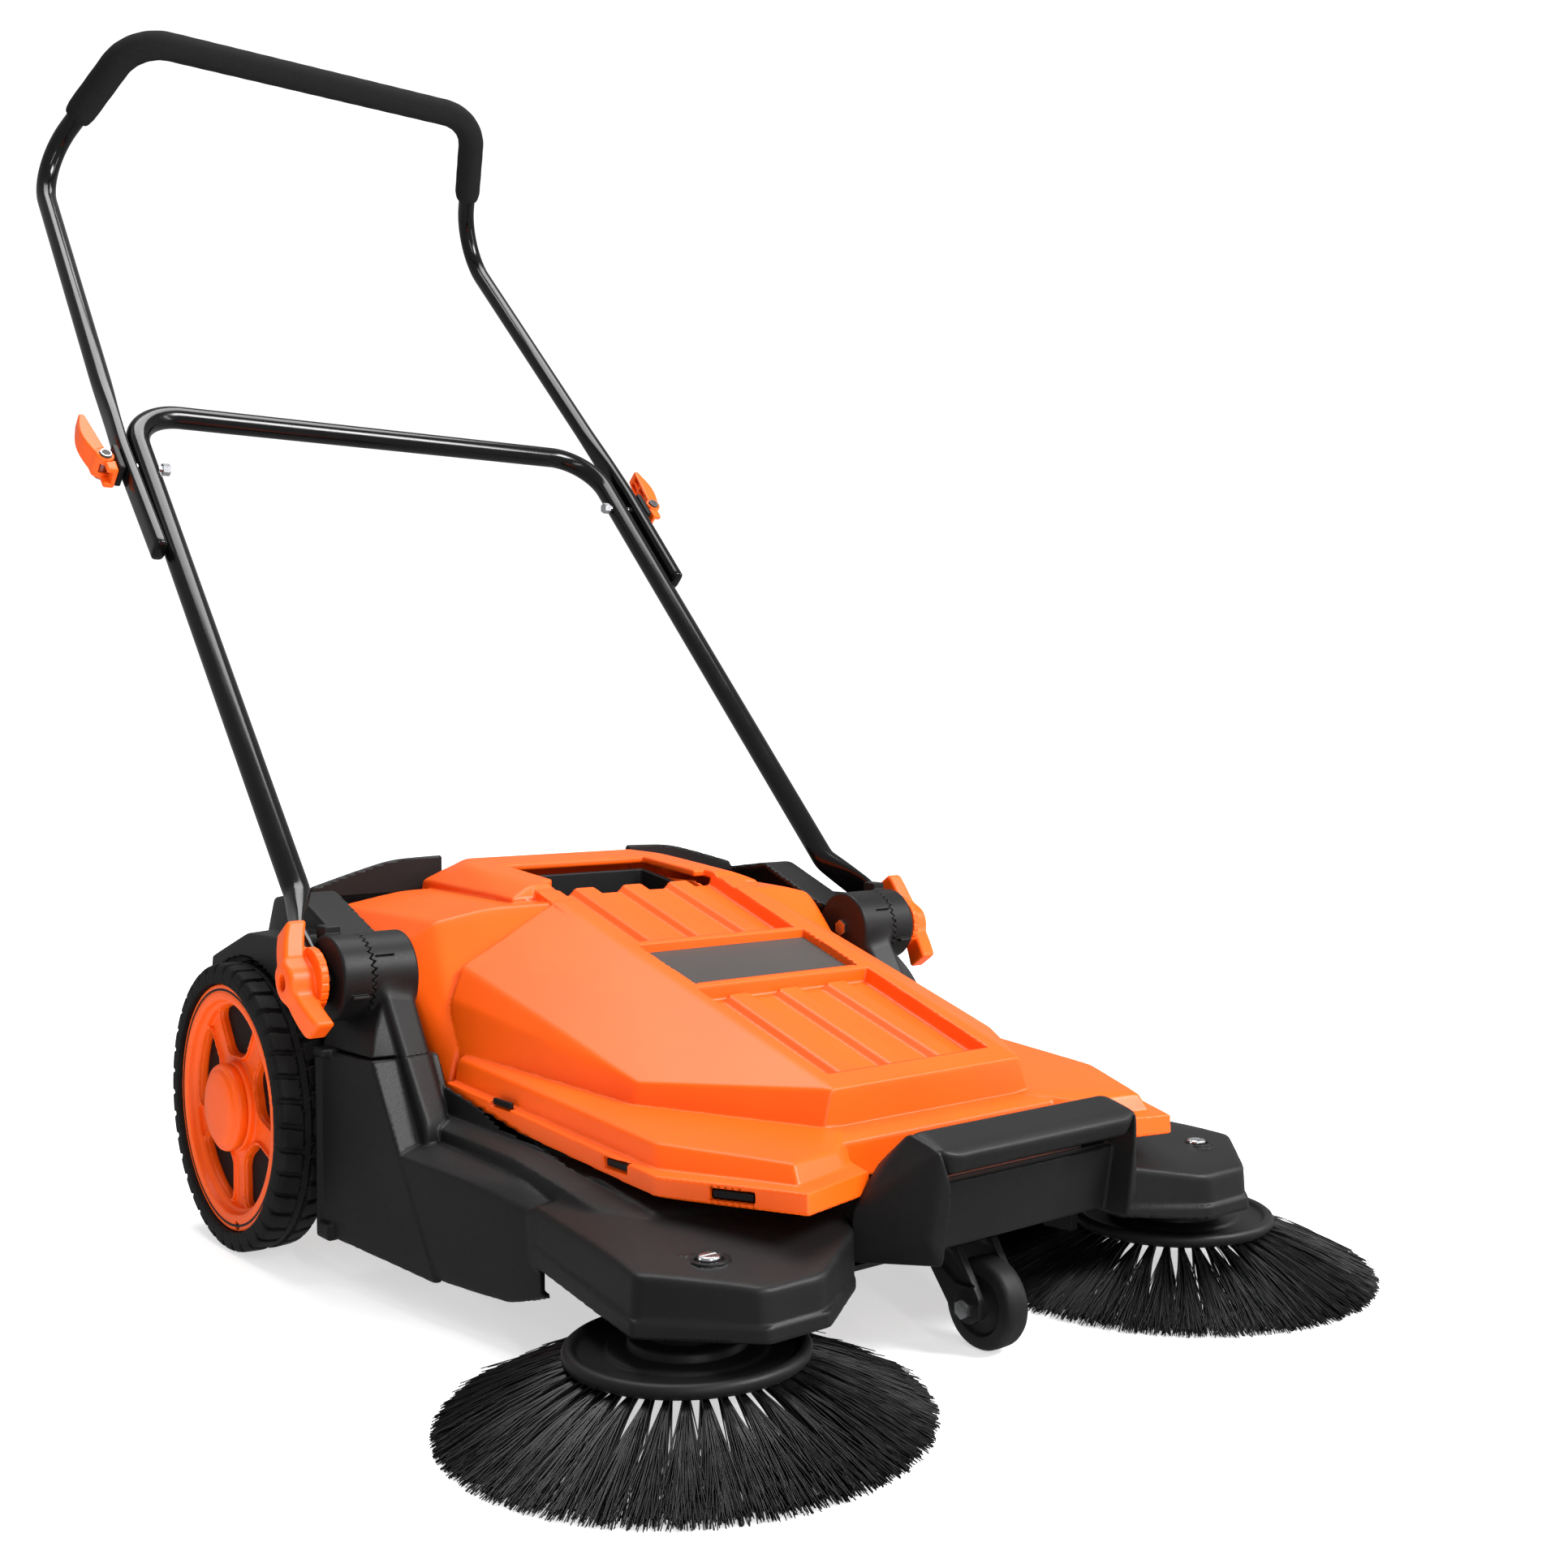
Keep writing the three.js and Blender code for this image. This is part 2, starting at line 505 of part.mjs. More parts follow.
function buildSpindle(s) {
  return join(
    rod(P(s * BRUSH.x, BRUSH.y, 40), P(s * BRUSH.x, BRUSH.y, 121), BRUSH.spindleR, 16),
    rod(P(s * BRUSH.x, BRUSH.y, 40), P(s * BRUSH.x, BRUSH.y, 46.7), 14, 16),
  );
}

function buildPodScrew(s) {
  const x = s * BRUSH.x;
  const { y, z } = POD_SCREW;
  const head = turned([[0, 0], [8.5, 0], [8, 2.5], [4, 4.5], [0, 5]], P(x, y, z + GAP), P(0, 0, 1), 16);
  const shank = rod(P(x, y, 124), P(x, y, z + 1), 3, 10);
  const slot = box([x - 6, y - 0.8, z + 3.6], [x + 6, y + 0.8, z + 12]);
  return cut(join(head, shank), slot);
}

// ---------------------------------------------------------------- caster

function buildCasterFork() {
  const w = CASTER.halfWidth;
  const top = CASTER.forkTop;
  const stem = rod(P(0, CASTER.swivelY, 80), P(0, CASTER.swivelY, 130), CASTER.stemR);
  const crown = hull([[-24, CASTER.swivelY + 18, 84], [24, CASTER.swivelY + 18, 84], [-24, CASTER.swivelY - 30, 82],
    [24, CASTER.swivelY - 30, 82], [-22, CASTER.swivelY + 16, top], [22, CASTER.swivelY + 16, top],
    [-22, CASTER.swivelY - 18, top], [22, CASTER.swivelY - 18, top]]);
  const cheek = (s) => hull(onSide(s, [
    [w + 4, CASTER.swivelY + 17, 86], [w + 12, CASTER.swivelY + 17, 86], [w + 4, CASTER.swivelY - 34, 86],
    [w + 12, CASTER.swivelY - 34, 86], [w + 4, CASTER.y + 15, 28], [w + 12, CASTER.y + 15, 28],
    [w + 4, CASTER.y - 14, 30], [w + 12, CASTER.y - 14, 30], [w + 4, CASTER.y - 15, 46], [w + 12, CASTER.y - 15, 46],
  ]));
  const bore = rod(P(-40, CASTER.y, CASTER.r), P(40, CASTER.y, CASTER.r), 4 + GAP, 14);
  return cut(join(stem, crown, cheek(1), cheek(-1)), bore);
}

function buildCasterWheel() {
  const w = CASTER.halfWidth;
  const r = CASTER.r;
  return turned([
    [4.3, -w - 3], [12, -w - 3], [12, -w], [r - 3, -w], [r, -w + 4], [r, w - 4], [r - 3, w],
    [12, w], [12, w + 3], [4.3, w + 3], [4.3, -w - 3],
  ], P(0, CASTER.y, r), P(1, 0, 0), 28);
}

function buildCasterBolt() {
  const half = CASTER.halfWidth + 12;
  const shank = rod(P(-half - 4, CASTER.y, CASTER.r), P(half + 5, CASTER.y, CASTER.r), 4, 14);
  const head = rod(P(-half - 6, CASTER.y, CASTER.r), P(-half - GAP, CASTER.y, CASTER.r), 8, 6);
  const nut = rod(P(half + GAP, CASTER.y, CASTER.r), P(half + 6, CASTER.y, CASTER.r), 8, 6);
  return join(shank, head, nut);
}

// ---------------------------------------------------------------- handle

const LEG_WAY = P(0, LOWER.crossY - 54.4, LOWER.crossZ - 450).normalize();

function buildLowerLeg(s) {
  const bend = 62;
  const corner = P(s * LOWER.topX, LOWER.crossY, LOWER.crossZ);
  const foot = P(s * LOWER.footX, -30, 360);
  const jog = P(s * 330, -70, 326);
  const start = P(s * (LOWER.topX - bend - 10), LOWER.crossY, LOWER.crossZ);
  const bar = sweep(bentStations([start, corner, foot, jog], [bend, 20]), LOWER.r, 12);
  const paddle = hull(onSide(s, [
    [PIVOT.paddle, -95, 330], [PIVOT.disc - 0.7, -95, 330], [PIVOT.paddle, -72, 300], [PIVOT.disc - 0.7, -72, 300],
    [LOWER.footX + 2, -48, 366], [LOWER.footX + 16, -48, 366], [LOWER.footX + 2, -24, 342],
    [LOWER.footX + 16, -24, 342],
  ]));
  const eye = hull(onSide(s, [
    ...[-1, -0.5, 0, 0.5, 1].flatMap((k) => [PIVOT.paddle, PIVOT.disc - 0.7].map((x) => [
      x, PIVOT.y + 16 * Math.cos(Math.PI + (Math.PI / 2) * k - 0.8), PIVOT.z + 16 * Math.sin(Math.PI + (Math.PI / 2) * k - 0.8),
    ])),
    [PIVOT.paddle, -95, 330], [PIVOT.disc - 0.7, -95, 330], [PIVOT.paddle, -72, 300], [PIVOT.disc - 0.7, -72, 300],
  ]));
  const bore = crossRod(s, 330, 360, PIVOT.y, PIVOT.z, PIVOT.boltR + GAP, 16);
  const clampBore = crossRod(s, 280, 330, CLAMP.y, CLAMP.z, CLAMP.boltR + GAP, 14);
  return cut(join(bar, paddle, eye), bore, clampBore);
}

function buildCrossTube() {
  const x = LOWER.topX - 72 - GAP;
  return rod(P(-x, LOWER.crossY, LOWER.crossZ), P(x, LOWER.crossY, LOWER.crossZ), LOWER.r, 12);
}

function buildOuterRatchet(s) {
  const drum = crossRod(s, PIVOT.seam + GAP, PIVOT.paddle - GAP, PIVOT.y, PIVOT.z, PIVOT.r, 28);
  return cut(drum, crossRod(s, 300, 350, PIVOT.y, PIVOT.z, PIVOT.boltR + GAP));
}

function buildPivotBolt(s) {
  const shank = crossRod(s, PIVOT.inner + 0.6, 366, PIVOT.y, PIVOT.z, PIVOT.boltR, 20);
  return join(shank, crossRod(s, PIVOT.inner + 0.6, PIVOT.inner + 4 - GAP, PIVOT.y, PIVOT.z, 9, 6));
}

function buildKnob(s) {
  const disc = crossRod(s, PIVOT.disc + GAP, PIVOT.disc + 8, PIVOT.y, PIVOT.z, 30, 24);
  const hub = crossRod(s, PIVOT.disc + 7, PIVOT.disc + 31, PIVOT.y, PIVOT.z, 17, 16);
  const lean = THREE.MathUtils.degToRad(56);
  const wings = [0, 1].map((k) => {
    const g = new THREE.BoxGeometry(17, 52, 20);
    g.translate(s * (PIVOT.disc + 21), 27, 0);
    g.rotateX(lean + Math.PI * k);
    g.translate(0, PIVOT.y, PIVOT.z);
    return solid(g);
  });
  const bore = crossRod(s, 340, 366 + GAP, PIVOT.y, PIVOT.z, PIVOT.boltR + GAP);
  return cut(join(disc, hub, wings), bore);
}

function buildUpperLeg(s) {
  const along = (z) => UPPER.bendY + ((z - UPPER.bendZ) * (UPPER.bendY - 276.4)) / (UPPER.bendZ - 694.5);
  const bend = P(s * UPPER.bendX, UPPER.bendY, UPPER.bendZ);
  const corner = P(s * GRIP.x, GRIP.y, GRIP.z);
  const foamAt = bend.clone().lerp(corner, GRIP.foamStart);
  const corners = [P(s * UPPER.tailX, along(694.5), 694.5), P(s * UPPER.tailX, along(830), 830),
    P(s * 322, along(900), 900), bend, foamAt];
  const bar = sweep(bentStations(corners, [60, 60, 70], 4), UPPER.r, 12);
  const nest = sideBox(s, [300, 200, 600], [UPPER.flatX, 480, 852]);
  return cut(bar, nest, crossRod(s, 310, 360, CLAMP.y, CLAMP.z, CLAMP.boltR + GAP, 14));
}

function buildFoamGrip() {
  const bendL = P(-UPPER.bendX, UPPER.bendY, UPPER.bendZ);
  const cornerL = P(-GRIP.x, GRIP.y, GRIP.z);
  const mirror = (p) => P(-p.x, p.y, p.z);
  const start = bendL.clone().lerp(cornerL, GRIP.foamStart + 0.002);
  return sweep(bentStations([start, cornerL, mirror(cornerL), mirror(start)], [62, 62], 6), GRIP.foamR, 14);
}

function buildSaddle(s) {
  const block = hull(onSide(s, [
    [CLAMP.face, CLAMP.y - 20, CLAMP.z + 4], [CLAMP.face, CLAMP.y + 4, CLAMP.z + 22],
    [CLAMP.face, CLAMP.y + 18, CLAMP.z - 6], [CLAMP.face, CLAMP.y - 6, CLAMP.z - 24],
    [CLAMP.face + 8, CLAMP.y - 16, CLAMP.z + 3], [CLAMP.face + 8, CLAMP.y + 3, CLAMP.z + 18],
    [CLAMP.face + 8, CLAMP.y + 14, CLAMP.z - 5], [CLAMP.face + 8, CLAMP.y - 5, CLAMP.z - 20],
  ]));
  return cut(block, crossRod(s, 330, 360, CLAMP.y, CLAMP.z, CLAMP.boltR + GAP));
}

const LEVER_AXIS = P(0, -LEG_WAY.z, LEG_WAY.y);     // across the leg, forwards and up

/** A point near the clamp: out is along X, along is up the leg, across is forwards and up. */
function clampPoint(s, out, along, across) {
  return P(s * out, CLAMP.y, CLAMP.z).addScaledVector(LEG_WAY, along).addScaledVector(LEVER_AXIS, across);
}

function buildClampBolt(s) {
  const x = CLAMP.face + 18;
  const shank = crossRod(s, LOWER.topX - LOWER.r - 5, x, CLAMP.y, CLAMP.z, CLAMP.boltR, 16);
  const head = crossRod(s, LOWER.topX - LOWER.r - 9, LOWER.topX - LOWER.r - 1, CLAMP.y, CLAMP.z, 7, 6);
  const barrel = rod(clampPoint(s, x, 0, -16), clampPoint(s, x, 0, 17), 6, 14);
  return join(shank, head, barrel);
}

function buildLever(s) {
  const x = CLAMP.face + 18;
  const cam = rod(clampPoint(s, x, 0, -14), clampPoint(s, x, 0, 14), 9.4, 18);
  const arm = [[8, -4, -14], [8, -4, 14], [8, 6, -14], [8, 6, 14], [30, 8, -13], [30, 14, 13], [30, 8, 13], [30, 14, -13],
    [72, 4, -9], [72, 4, 9], [72, 9, -9], [72, 9, 9], [-6, -2, 14], [-6, 8, 14], [-6, -2, -14], [-6, 8, -14]];
  const blade = hull(arm.map(([along, out, across]) => clampPoint(s, x + out, along, across).toArray()));
  const fork = hull([[-22, -10], [14, -10], [14, 0.6], [-4, 5], [-22, 5]].flatMap(([along, out]) => (
    [-6, 6].map((across) => clampPoint(s, x + out, along, across).toArray()))));
  const bore = rod(clampPoint(s, x, 0, -30), clampPoint(s, x, 0, 30), 6 + GAP, 14);
  return cut(join(cam, blade), bore, fork);
}

// ---------------------------------------------------------------- assembly

place('chassis_shell', buildChassis(), black);
place('rear_cover', buildRearCover(), black);
place('front_carry_handle', buildCarryHandle(), black);
place('axle', rod(P(-WHEEL.outer + 12, WHEEL.y, WHEEL.r), P(WHEEL.outer - 12, WHEEL.y, WHEEL.r), WHEEL.axleR), steel);
place('hopper_lid', buildLid(), orange);
place('hopper_tub', buildTub(), black);
place('badge_plate', buildBadge(), badgeGrey);
place('caster_fork', buildCasterFork(), black);
place('caster_wheel', buildCasterWheel(), tyreRubber);
place('caster_bolt', buildCasterBolt(), steel);
place('lower_cross_tube', buildCrossTube(), coated);
place('foam_grip', buildFoamGrip(), foam);

for (const [side, s] of Object.entries(SIDES)) {
  place(`pod_screw_${side}`, buildPodScrew(s), steel);
  place(`pivot_bracket_${side}`, buildBracket(s), black);
  place(`pivot_bolt_${side}`, buildPivotBolt(s), steel);
  place(`tyre_${side}`, buildTyre(s), tyreRubber);
  place(`wheel_rim_${side}`, buildRim(s), orange);
  place(`hub_cap_${side}`, buildHubCap(s), orange);
  place(`drive_pulley_${side}`, buildDrivePulley(s), black);
  place(`drive_belt_${side}`, buildBelt(s), beltRubber);
  place(`brush_pulley_${side}`, buildBrushPulley(s), black);
  place(`brush_plate_${side}`, buildBrushPlate(s), black);
  place(`brush_bristles_${side}`, buildBristles(s), bristle);
  place(`brush_spindle_${side}`, buildSpindle(s), steel);
  place(`lower_leg_${side}`, buildLowerLeg(s), coated);
  place(`outer_ratchet_${side}`, buildOuterRatchet(s), black);
  place(`wing_knob_${side}`, buildKnob(s), orange);
  place(`upper_leg_${side}`, buildUpperLeg(s), coated);
  place(`clamp_saddle_${side}`, buildSaddle(s), black);
  place(`clamp_bolt_${side}`, buildClampBolt(s), steel);
  place(`clamp_lever_${side}`, buildLever(s), orange);
}

export default sweeper;
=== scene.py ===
"""Walk-behind sweeper with two disc brushes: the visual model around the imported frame.

Sizes in the classes are millimetres in the maker's own axes: +Z up from the floor, the machine
is pushed towards -Y, x = 0 is the plane of symmetry. Shop.to_row() turns them into the frame's metres.
"""

import logging
import math
from collections.abc import Callable, Iterable, Sequence
from dataclasses import dataclass
from enum import Enum

import bmesh
import bpy
import numpy as np
from mathutils import Matrix, Vector

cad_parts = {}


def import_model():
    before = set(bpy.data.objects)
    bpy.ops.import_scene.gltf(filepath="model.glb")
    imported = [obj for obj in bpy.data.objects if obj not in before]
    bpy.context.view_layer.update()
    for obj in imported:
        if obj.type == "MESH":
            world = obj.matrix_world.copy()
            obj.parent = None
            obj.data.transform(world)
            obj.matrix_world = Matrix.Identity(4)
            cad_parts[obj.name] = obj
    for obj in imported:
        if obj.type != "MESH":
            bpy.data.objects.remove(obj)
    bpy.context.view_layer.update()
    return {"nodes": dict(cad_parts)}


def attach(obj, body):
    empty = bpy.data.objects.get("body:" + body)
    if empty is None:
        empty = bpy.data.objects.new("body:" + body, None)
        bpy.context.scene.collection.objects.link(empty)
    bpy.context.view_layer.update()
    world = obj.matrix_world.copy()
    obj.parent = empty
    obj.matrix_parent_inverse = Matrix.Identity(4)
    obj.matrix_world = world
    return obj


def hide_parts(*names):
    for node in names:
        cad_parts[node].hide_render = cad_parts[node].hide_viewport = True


Array = np.ndarray
Point = tuple[float, float, float]

LOG = logging.getLogger("sweeper")
CENTRE_Y = 13.2          # mm that the frame's origin lies ahead of the maker's


class Way(Enum):
    """Unit directions for turned parts."""

    X = (1.0, 0.0, 0.0)
    Z = (0.0, 0.0, 1.0)


# ------------------------------------------------------------------ solids


class Solid:
    """A shape held as signed distance in millimetres, negative inside."""

    def __init__(self, distance: Callable[[Array], Array]) -> None:
        """Keeps the distance function.

        Args:
            distance: takes points (n, 3) and returns n distances.
        """
        self.distance = distance

    def __or__(self, other: "Solid") -> "Solid":
        """Both shapes together, with a sharp inner corner."""
        return Solid(lambda p: np.minimum(self.distance(p), other.distance(p)))

    def __and__(self, other: "Solid") -> "Solid":
        """What the two shapes share."""
        return Solid(lambda p: np.maximum(self.distance(p), other.distance(p)))

    def __sub__(self, other: "Solid") -> "Solid":
        """This shape with the other cut away, with sharp edges."""
        return Solid(lambda p: np.maximum(self.distance(p), -other.distance(p)))

    def fused(self, other: "Solid", fillet: float) -> "Solid":
        """Both shapes together with a fillet where they meet.

        Args:
            other: the shape to add.
            fillet: size of the fillet.

        Returns:
            The joined shape.
        """
        def distance(p: Array) -> Array:
            """Signed distance at the points."""
            a, b = self.distance(p), other.distance(p)
            h = np.maximum(fillet - np.abs(a - b), 0.0) / fillet
            return np.minimum(a, b) - h * h * fillet * 0.25
        return Solid(distance)

    def carved(self, other: "Solid", edge: float) -> "Solid":
        """This shape with the other cut away and the new edges rounded.

        Args:
            other: the shape to remove.
            edge: size of the rounding.

        Returns:
            The cut shape.
        """
        def distance(p: Array) -> Array:
            """Signed distance at the points."""
            a, b = self.distance(p), -other.distance(p)
            h = np.maximum(edge - np.abs(a - b), 0.0) / edge
            return np.maximum(a, b) + h * h * edge * 0.25
        return Solid(distance)

    def grown(self, by: float) -> "Solid":
        """The shape with its skin moved outwards, or inwards if negative."""
        return Solid(lambda p: self.distance(p) - by)

    def rising_from(self, z: float) -> "Solid":
        """The shape as if everything under z looked as it does at z."""
        return Solid(lambda p: self.distance(np.column_stack([p[:, :2], np.maximum(p[:, 2], z)])))

    def mirrored(self) -> "Solid":
        """The shape together with its mirror image across x = 0."""
        return Solid(lambda p: self.distance(np.abs(p * (1, 0, 0)) + p * (0, 1, 1)))


def together(shapes: Sequence[Solid], fillet: float = 0.0) -> Solid:
    """All the shapes as one.

    Args:
        shapes: the shapes.
        fillet: size of the fillets between them, or 0 for sharp corners.

    Returns:
        The joined shape.
    """
    whole = shapes[0]
    for shape in shapes[1:]:
        whole = whole.fused(shape, fillet) if fillet else whole | shape
    return whole


def hull_planes(points: Sequence[Point]) -> tuple[Array, Array]:
    """Outward planes of the convex hull around points.

    Args:
        points: corner points.

    Returns:
        Normals (m, 3) and offsets (m,).
    """
    p = np.array(points, float)
    pick = np.array([(i, j, k) for i in range(len(p)) for j in range(i) for k in range(j)])
    n = np.cross(p[pick[:, 1]] - p[pick[:, 0]], p[pick[:, 2]] - p[pick[:, 0]])
    size = np.linalg.norm(n, axis=1)
    keep = size > 1.0
    n, first = n[keep] / size[keep, None], pick[keep, 0]
    d = np.einsum("ij,ij->i", n, p[first])
    spread = p @ n.T - d
    normals, offsets = [], []
    for sign, outer in ((1, spread.max(0) < 0.08), (-1, spread.min(0) > -0.08)):
        for normal, offset in zip(sign * n[outer], sign * d[outer]):
            if not any(np.dot(normal, m) > 0.9995 for m in normals):
                normals.append(normal)
                offsets.append(offset)
    return np.array(normals), np.array(offsets)


def block(points: Sequence[Point], edge: float = 3.0) -> Solid:
    """Convex block around points with rounded edges.

    Args:
        points: corner points.
        edge: radius of the edges.

    Returns:
        The block.
    """
    normals, offsets = hull_planes(points)
    lo, hi = np.min(points, axis=0), np.max(points, axis=0)

    def distance(p: Array) -> Array:
        """Signed distance at the points."""
        away = np.linalg.norm(np.maximum(np.maximum(lo - p, p - hi), 0.0), axis=1)
        near = away < 14.0
        d = p[near] @ normals.T - (offsets - edge)
        top = d.max(axis=1)
        d = np.maximum(d, 0.0)
        rounded = np.cbrt((d * d * d).sum(axis=1))
        out = away
        out[near] = np.where(top > 0, rounded, top) - edge
        return out
    return Solid(distance)


def slab(lo: Point, hi: Point, edge: float = 1.5) -> Solid:
    """Rounded box between two corners.

    Args:
        lo: low corner.
        hi: high corner.
        edge: radius of the edges.

    Returns:
        The box.
    """
    centre, half = (np.add(lo, hi)) / 2, (np.subtract(hi, lo)) / 2 - edge

    def distance(p: Array) -> Array:
        """Signed distance at the points."""
        q = np.abs(p - centre) - half
        return np.linalg.norm(np.maximum(q, 0), axis=1) + np.minimum(q.max(axis=1), 0) - edge
    return Solid(distance)


def rod(a: Point, b: Point, radius: float, edge: float = 1.0) -> Solid:
    """Round rod from a to b with rounded rims.

    Args:
        a: centre of one end.
        b: centre of the other end.
        radius: radius of the rod.
        edge: radius of the rims.

    Returns:
        The rod.
    """
    start, way = np.array(a, float), np.subtract(b, a).astype(float)
    length = np.linalg.norm(way)
    way /= length

    def distance(p: Array) -> Array:
        """Signed distance at the points."""
        q = p - start
        h = q @ way
        r = np.linalg.norm(q - h[:, None] * way, axis=1)
        u = r - radius + edge
        v = np.abs(h - length / 2) - length / 2 + edge
        return np.hypot(np.maximum(u, 0), np.maximum(v, 0)) + np.minimum(np.maximum(u, v), 0) - edge
    return Solid(distance)


def both(points: Iterable[Point]) -> list[Point]:
    """Points and their mirror images across x = 0."""
    return [q for x, y, z in points for q in ((x, y, z), (-x, y, z))]


# ------------------------------------------------------------------ meshes


class Shop:
    """Turns drawn shapes into Blender meshes."""

    CHUNK = 60_000
    CORNERS = np.array([(i, j, k) for i in (0, 1) for j in (0, 1) for k in (0, 1)])
    EDGES = [(a, b) for a in range(8) for b in range(a) if bin(a ^ b).count("1") == 1]
    PROBES = np.array([(1, -1, -1), (-1, -1, 1), (-1, 1, -1), (1, 1, 1)], float)

    @staticmethod
    def to_row(points: Array) -> Array:
        """Maker's millimetres to the frame's metres."""
        return (np.asarray(points, float) + (0, CENTRE_Y, 0)) / 1000

    @classmethod
    def measure(cls, shape: Solid, points: Array) -> Array:
        """Distances at many points, worked out in chunks."""
        return np.concatenate([shape.distance(points[i:i + cls.CHUNK])
                               for i in range(0, len(points), cls.CHUNK)])

    @classmethod
    def lean(cls, shape: Solid, points: Array) -> tuple[Array, Array]:
        """Distance and its gradient at points.

        Args:
            shape: the shape.
            points: where to look (n, 3).

        Returns:
            Distances (n,) and gradients (n, 3).
        """
        reach = 0.25
        values = [cls.measure(shape, points + probe * reach) for probe in cls.PROBES]
        slope = sum(v[:, None] * probe for v, probe in zip(values, cls.PROBES)) / (4 * reach)
        return sum(values) / 4, slope

    @classmethod
    def skin(cls, shape: Solid, lo: Point, hi: Point, step: float, symmetric: bool = False,
             ) -> tuple[Array, Array, Array]:
        """The surface of a shape as quads.

        Args:
            shape: the shape.
            lo: low corner of a box that holds it.
            hi: high corner of that box.
            step: size of a quad.
            symmetric: whether both halves across x = 0 are alike.

        Returns:
            Vertices and normals (n, 3) and faces (m, 4).
        """
        low, high = np.array(lo, float) - 2 * step, np.array(hi, float) + 2 * step
        if symmetric:
            low[0] = step / 2
        size = 4
        blocks = np.ceil((high - low) / (step * size)).astype(int)
        coarse = np.stack(np.meshgrid(*[np.arange(n) for n in blocks], indexing="ij"), -1).reshape(-1, 3)
        rough = cls.measure(shape, low + (coarse * size + (size - 1) / 2) * step)
        near = np.abs(rough) < step * size * 1.4
        values = rough.reshape(blocks)
        for axis in range(3):
            values = np.repeat(values, size, axis=axis)
        inner = np.stack(np.meshgrid(*[np.arange(size)] * 3, indexing="ij"), -1).reshape(-1, 3)
        at = (coarse[near][:, None] * size + inner).reshape(-1, 3)
        values[at[:, 0], at[:, 1], at[:, 2]] = cls.measure(shape, low + at * step)
        if symmetric:
            low[0] -= values.shape[0] * step
            values = np.concatenate([values[::-1], values])
        return cls.net(shape, values, low, step)

    @classmethod
    def net(cls, shape: Solid, values: Array, low: Array, step: float) -> tuple[Array, Array, Array]:
        """Surface net through a grid of distances, drawn onto the shape.

        Args:
            shape: the shape.
            values: distances on the grid.
            low: the grid's low corner.
            step: the grid's spacing.

        Returns:
            Vertices, normals and faces.
        """
        full = values < 0
        n = np.array(full.shape) - 1
        count = sum(full[i:i + n[0], j:j + n[1], k:k + n[2]].astype(np.int8) for i, j, k in cls.CORNERS)
        mixed = (count > 0) & (count < 8)
        cells = np.argwhere(mixed)
        number = np.full(mixed.shape, -1, np.int64)
        number[mixed] = np.arange(len(cells))
        corner = np.stack([values[tuple((cells + c).T)] for c in cls.CORNERS], axis=1)
        total, hits = np.zeros((len(cells), 3)), np.zeros(len(cells))
        for a, b in cls.EDGES:
            crosses = (corner[:, a] < 0) != (corner[:, b] < 0)
            gap = np.where(crosses, corner[:, a] - corner[:, b], 1.0)
            t = np.where(crosses, corner[:, a] / gap, 0.0)[:, None]
            total += np.where(crosses[:, None], cls.CORNERS[a] + t * (cls.CORNERS[b] - cls.CORNERS[a]), 0)
            hits += crosses
        points = low + (cells + total / hits[:, None]) * step
        for _ in range(2):
            value, slope = cls.lean(shape, points)
            move = (value / np.maximum((slope ** 2).sum(1), 0.2))[:, None] * slope
            far = np.linalg.norm(move, axis=1, keepdims=True)
            points -= move * np.minimum(1.0, 0.8 * step / np.maximum(far, 1e-9))
        slope = cls.lean(shape, points)[1]
        normals = slope / np.maximum(np.linalg.norm(slope, axis=1, keepdims=True), 1e-9)
        return points, normals, cls.quads(full, number)

    @staticmethod
    def quads(full: Array, number: Array) -> Array:
        """Faces between cells on each grid edge that crosses the surface.

        Args:
            full: which grid points lie inside.
            number: each surface cell's vertex, or -1.

        Returns:
            Faces (m, 4).
        """
        faces = []
        for axis in range(3):
            u, v = (axis + 1) % 3, (axis + 2) % 3
            low = np.take(full, range(full.shape[axis] - 1), axis)
            high = np.take(full, range(1, full.shape[axis]), axis)
            at = np.argwhere(low != high)
            at = at[(at[:, u] > 0) & (at[:, v] > 0) & (at[:, u] < number.shape[u]) & (at[:, v] < number.shape[v])]
            du, dv = np.eye(3, dtype=int)[u], np.eye(3, dtype=int)[v]
            ring = np.stack([number[tuple((at - du - dv).T)], number[tuple((at - dv).T)],
                             number[tuple(at.T)], number[tuple((at - du).T)]], axis=1)
            inward = full[tuple(at.T)]
            faces.append(np.where(inward[:, None], ring, ring[:, ::-1]))
        return np.concatenate(faces)

    @classmethod
    def mesh(cls, name: str, vertices: Array, faces: Array, normals: Array | None = None,
             ) -> bpy.types.Object:
        """A mesh object from equal-sided faces in maker's millimetres.

        Args:
            name: the piece's name.
            vertices: points (n, 3).
            faces: indices (m, 3) or (m, 4).
            normals: one per vertex, where the shading follows a known surface.

        Returns:
            The object.
        """
        mesh = bpy.data.meshes.new(name)
        m, sides = faces.shape
        mesh.vertices.add(len(vertices))
        mesh.vertices.foreach_set("co", cls.to_row(vertices).astype(np.float32).ravel())
        mesh.loops.add(m * sides)
        mesh.loops.foreach_set("vertex_index", faces.astype(np.int32).ravel())
        mesh.polygons.add(m)
        mesh.polygons.foreach_set("loop_start", np.arange(0, m * sides, sides, dtype=np.int32))
        mesh.polygons.foreach_set("use_smooth", np.ones(m, bool))
        mesh.update(calc_edges=True)
        mesh.validate()
        if normals is not None:
            mesh.normals_split_custom_set_from_vertices(normals.astype(np.float32))
        piece = bpy.data.objects.new(name, mesh)
        bpy.context.scene.collection.objects.link(piece)
        return piece

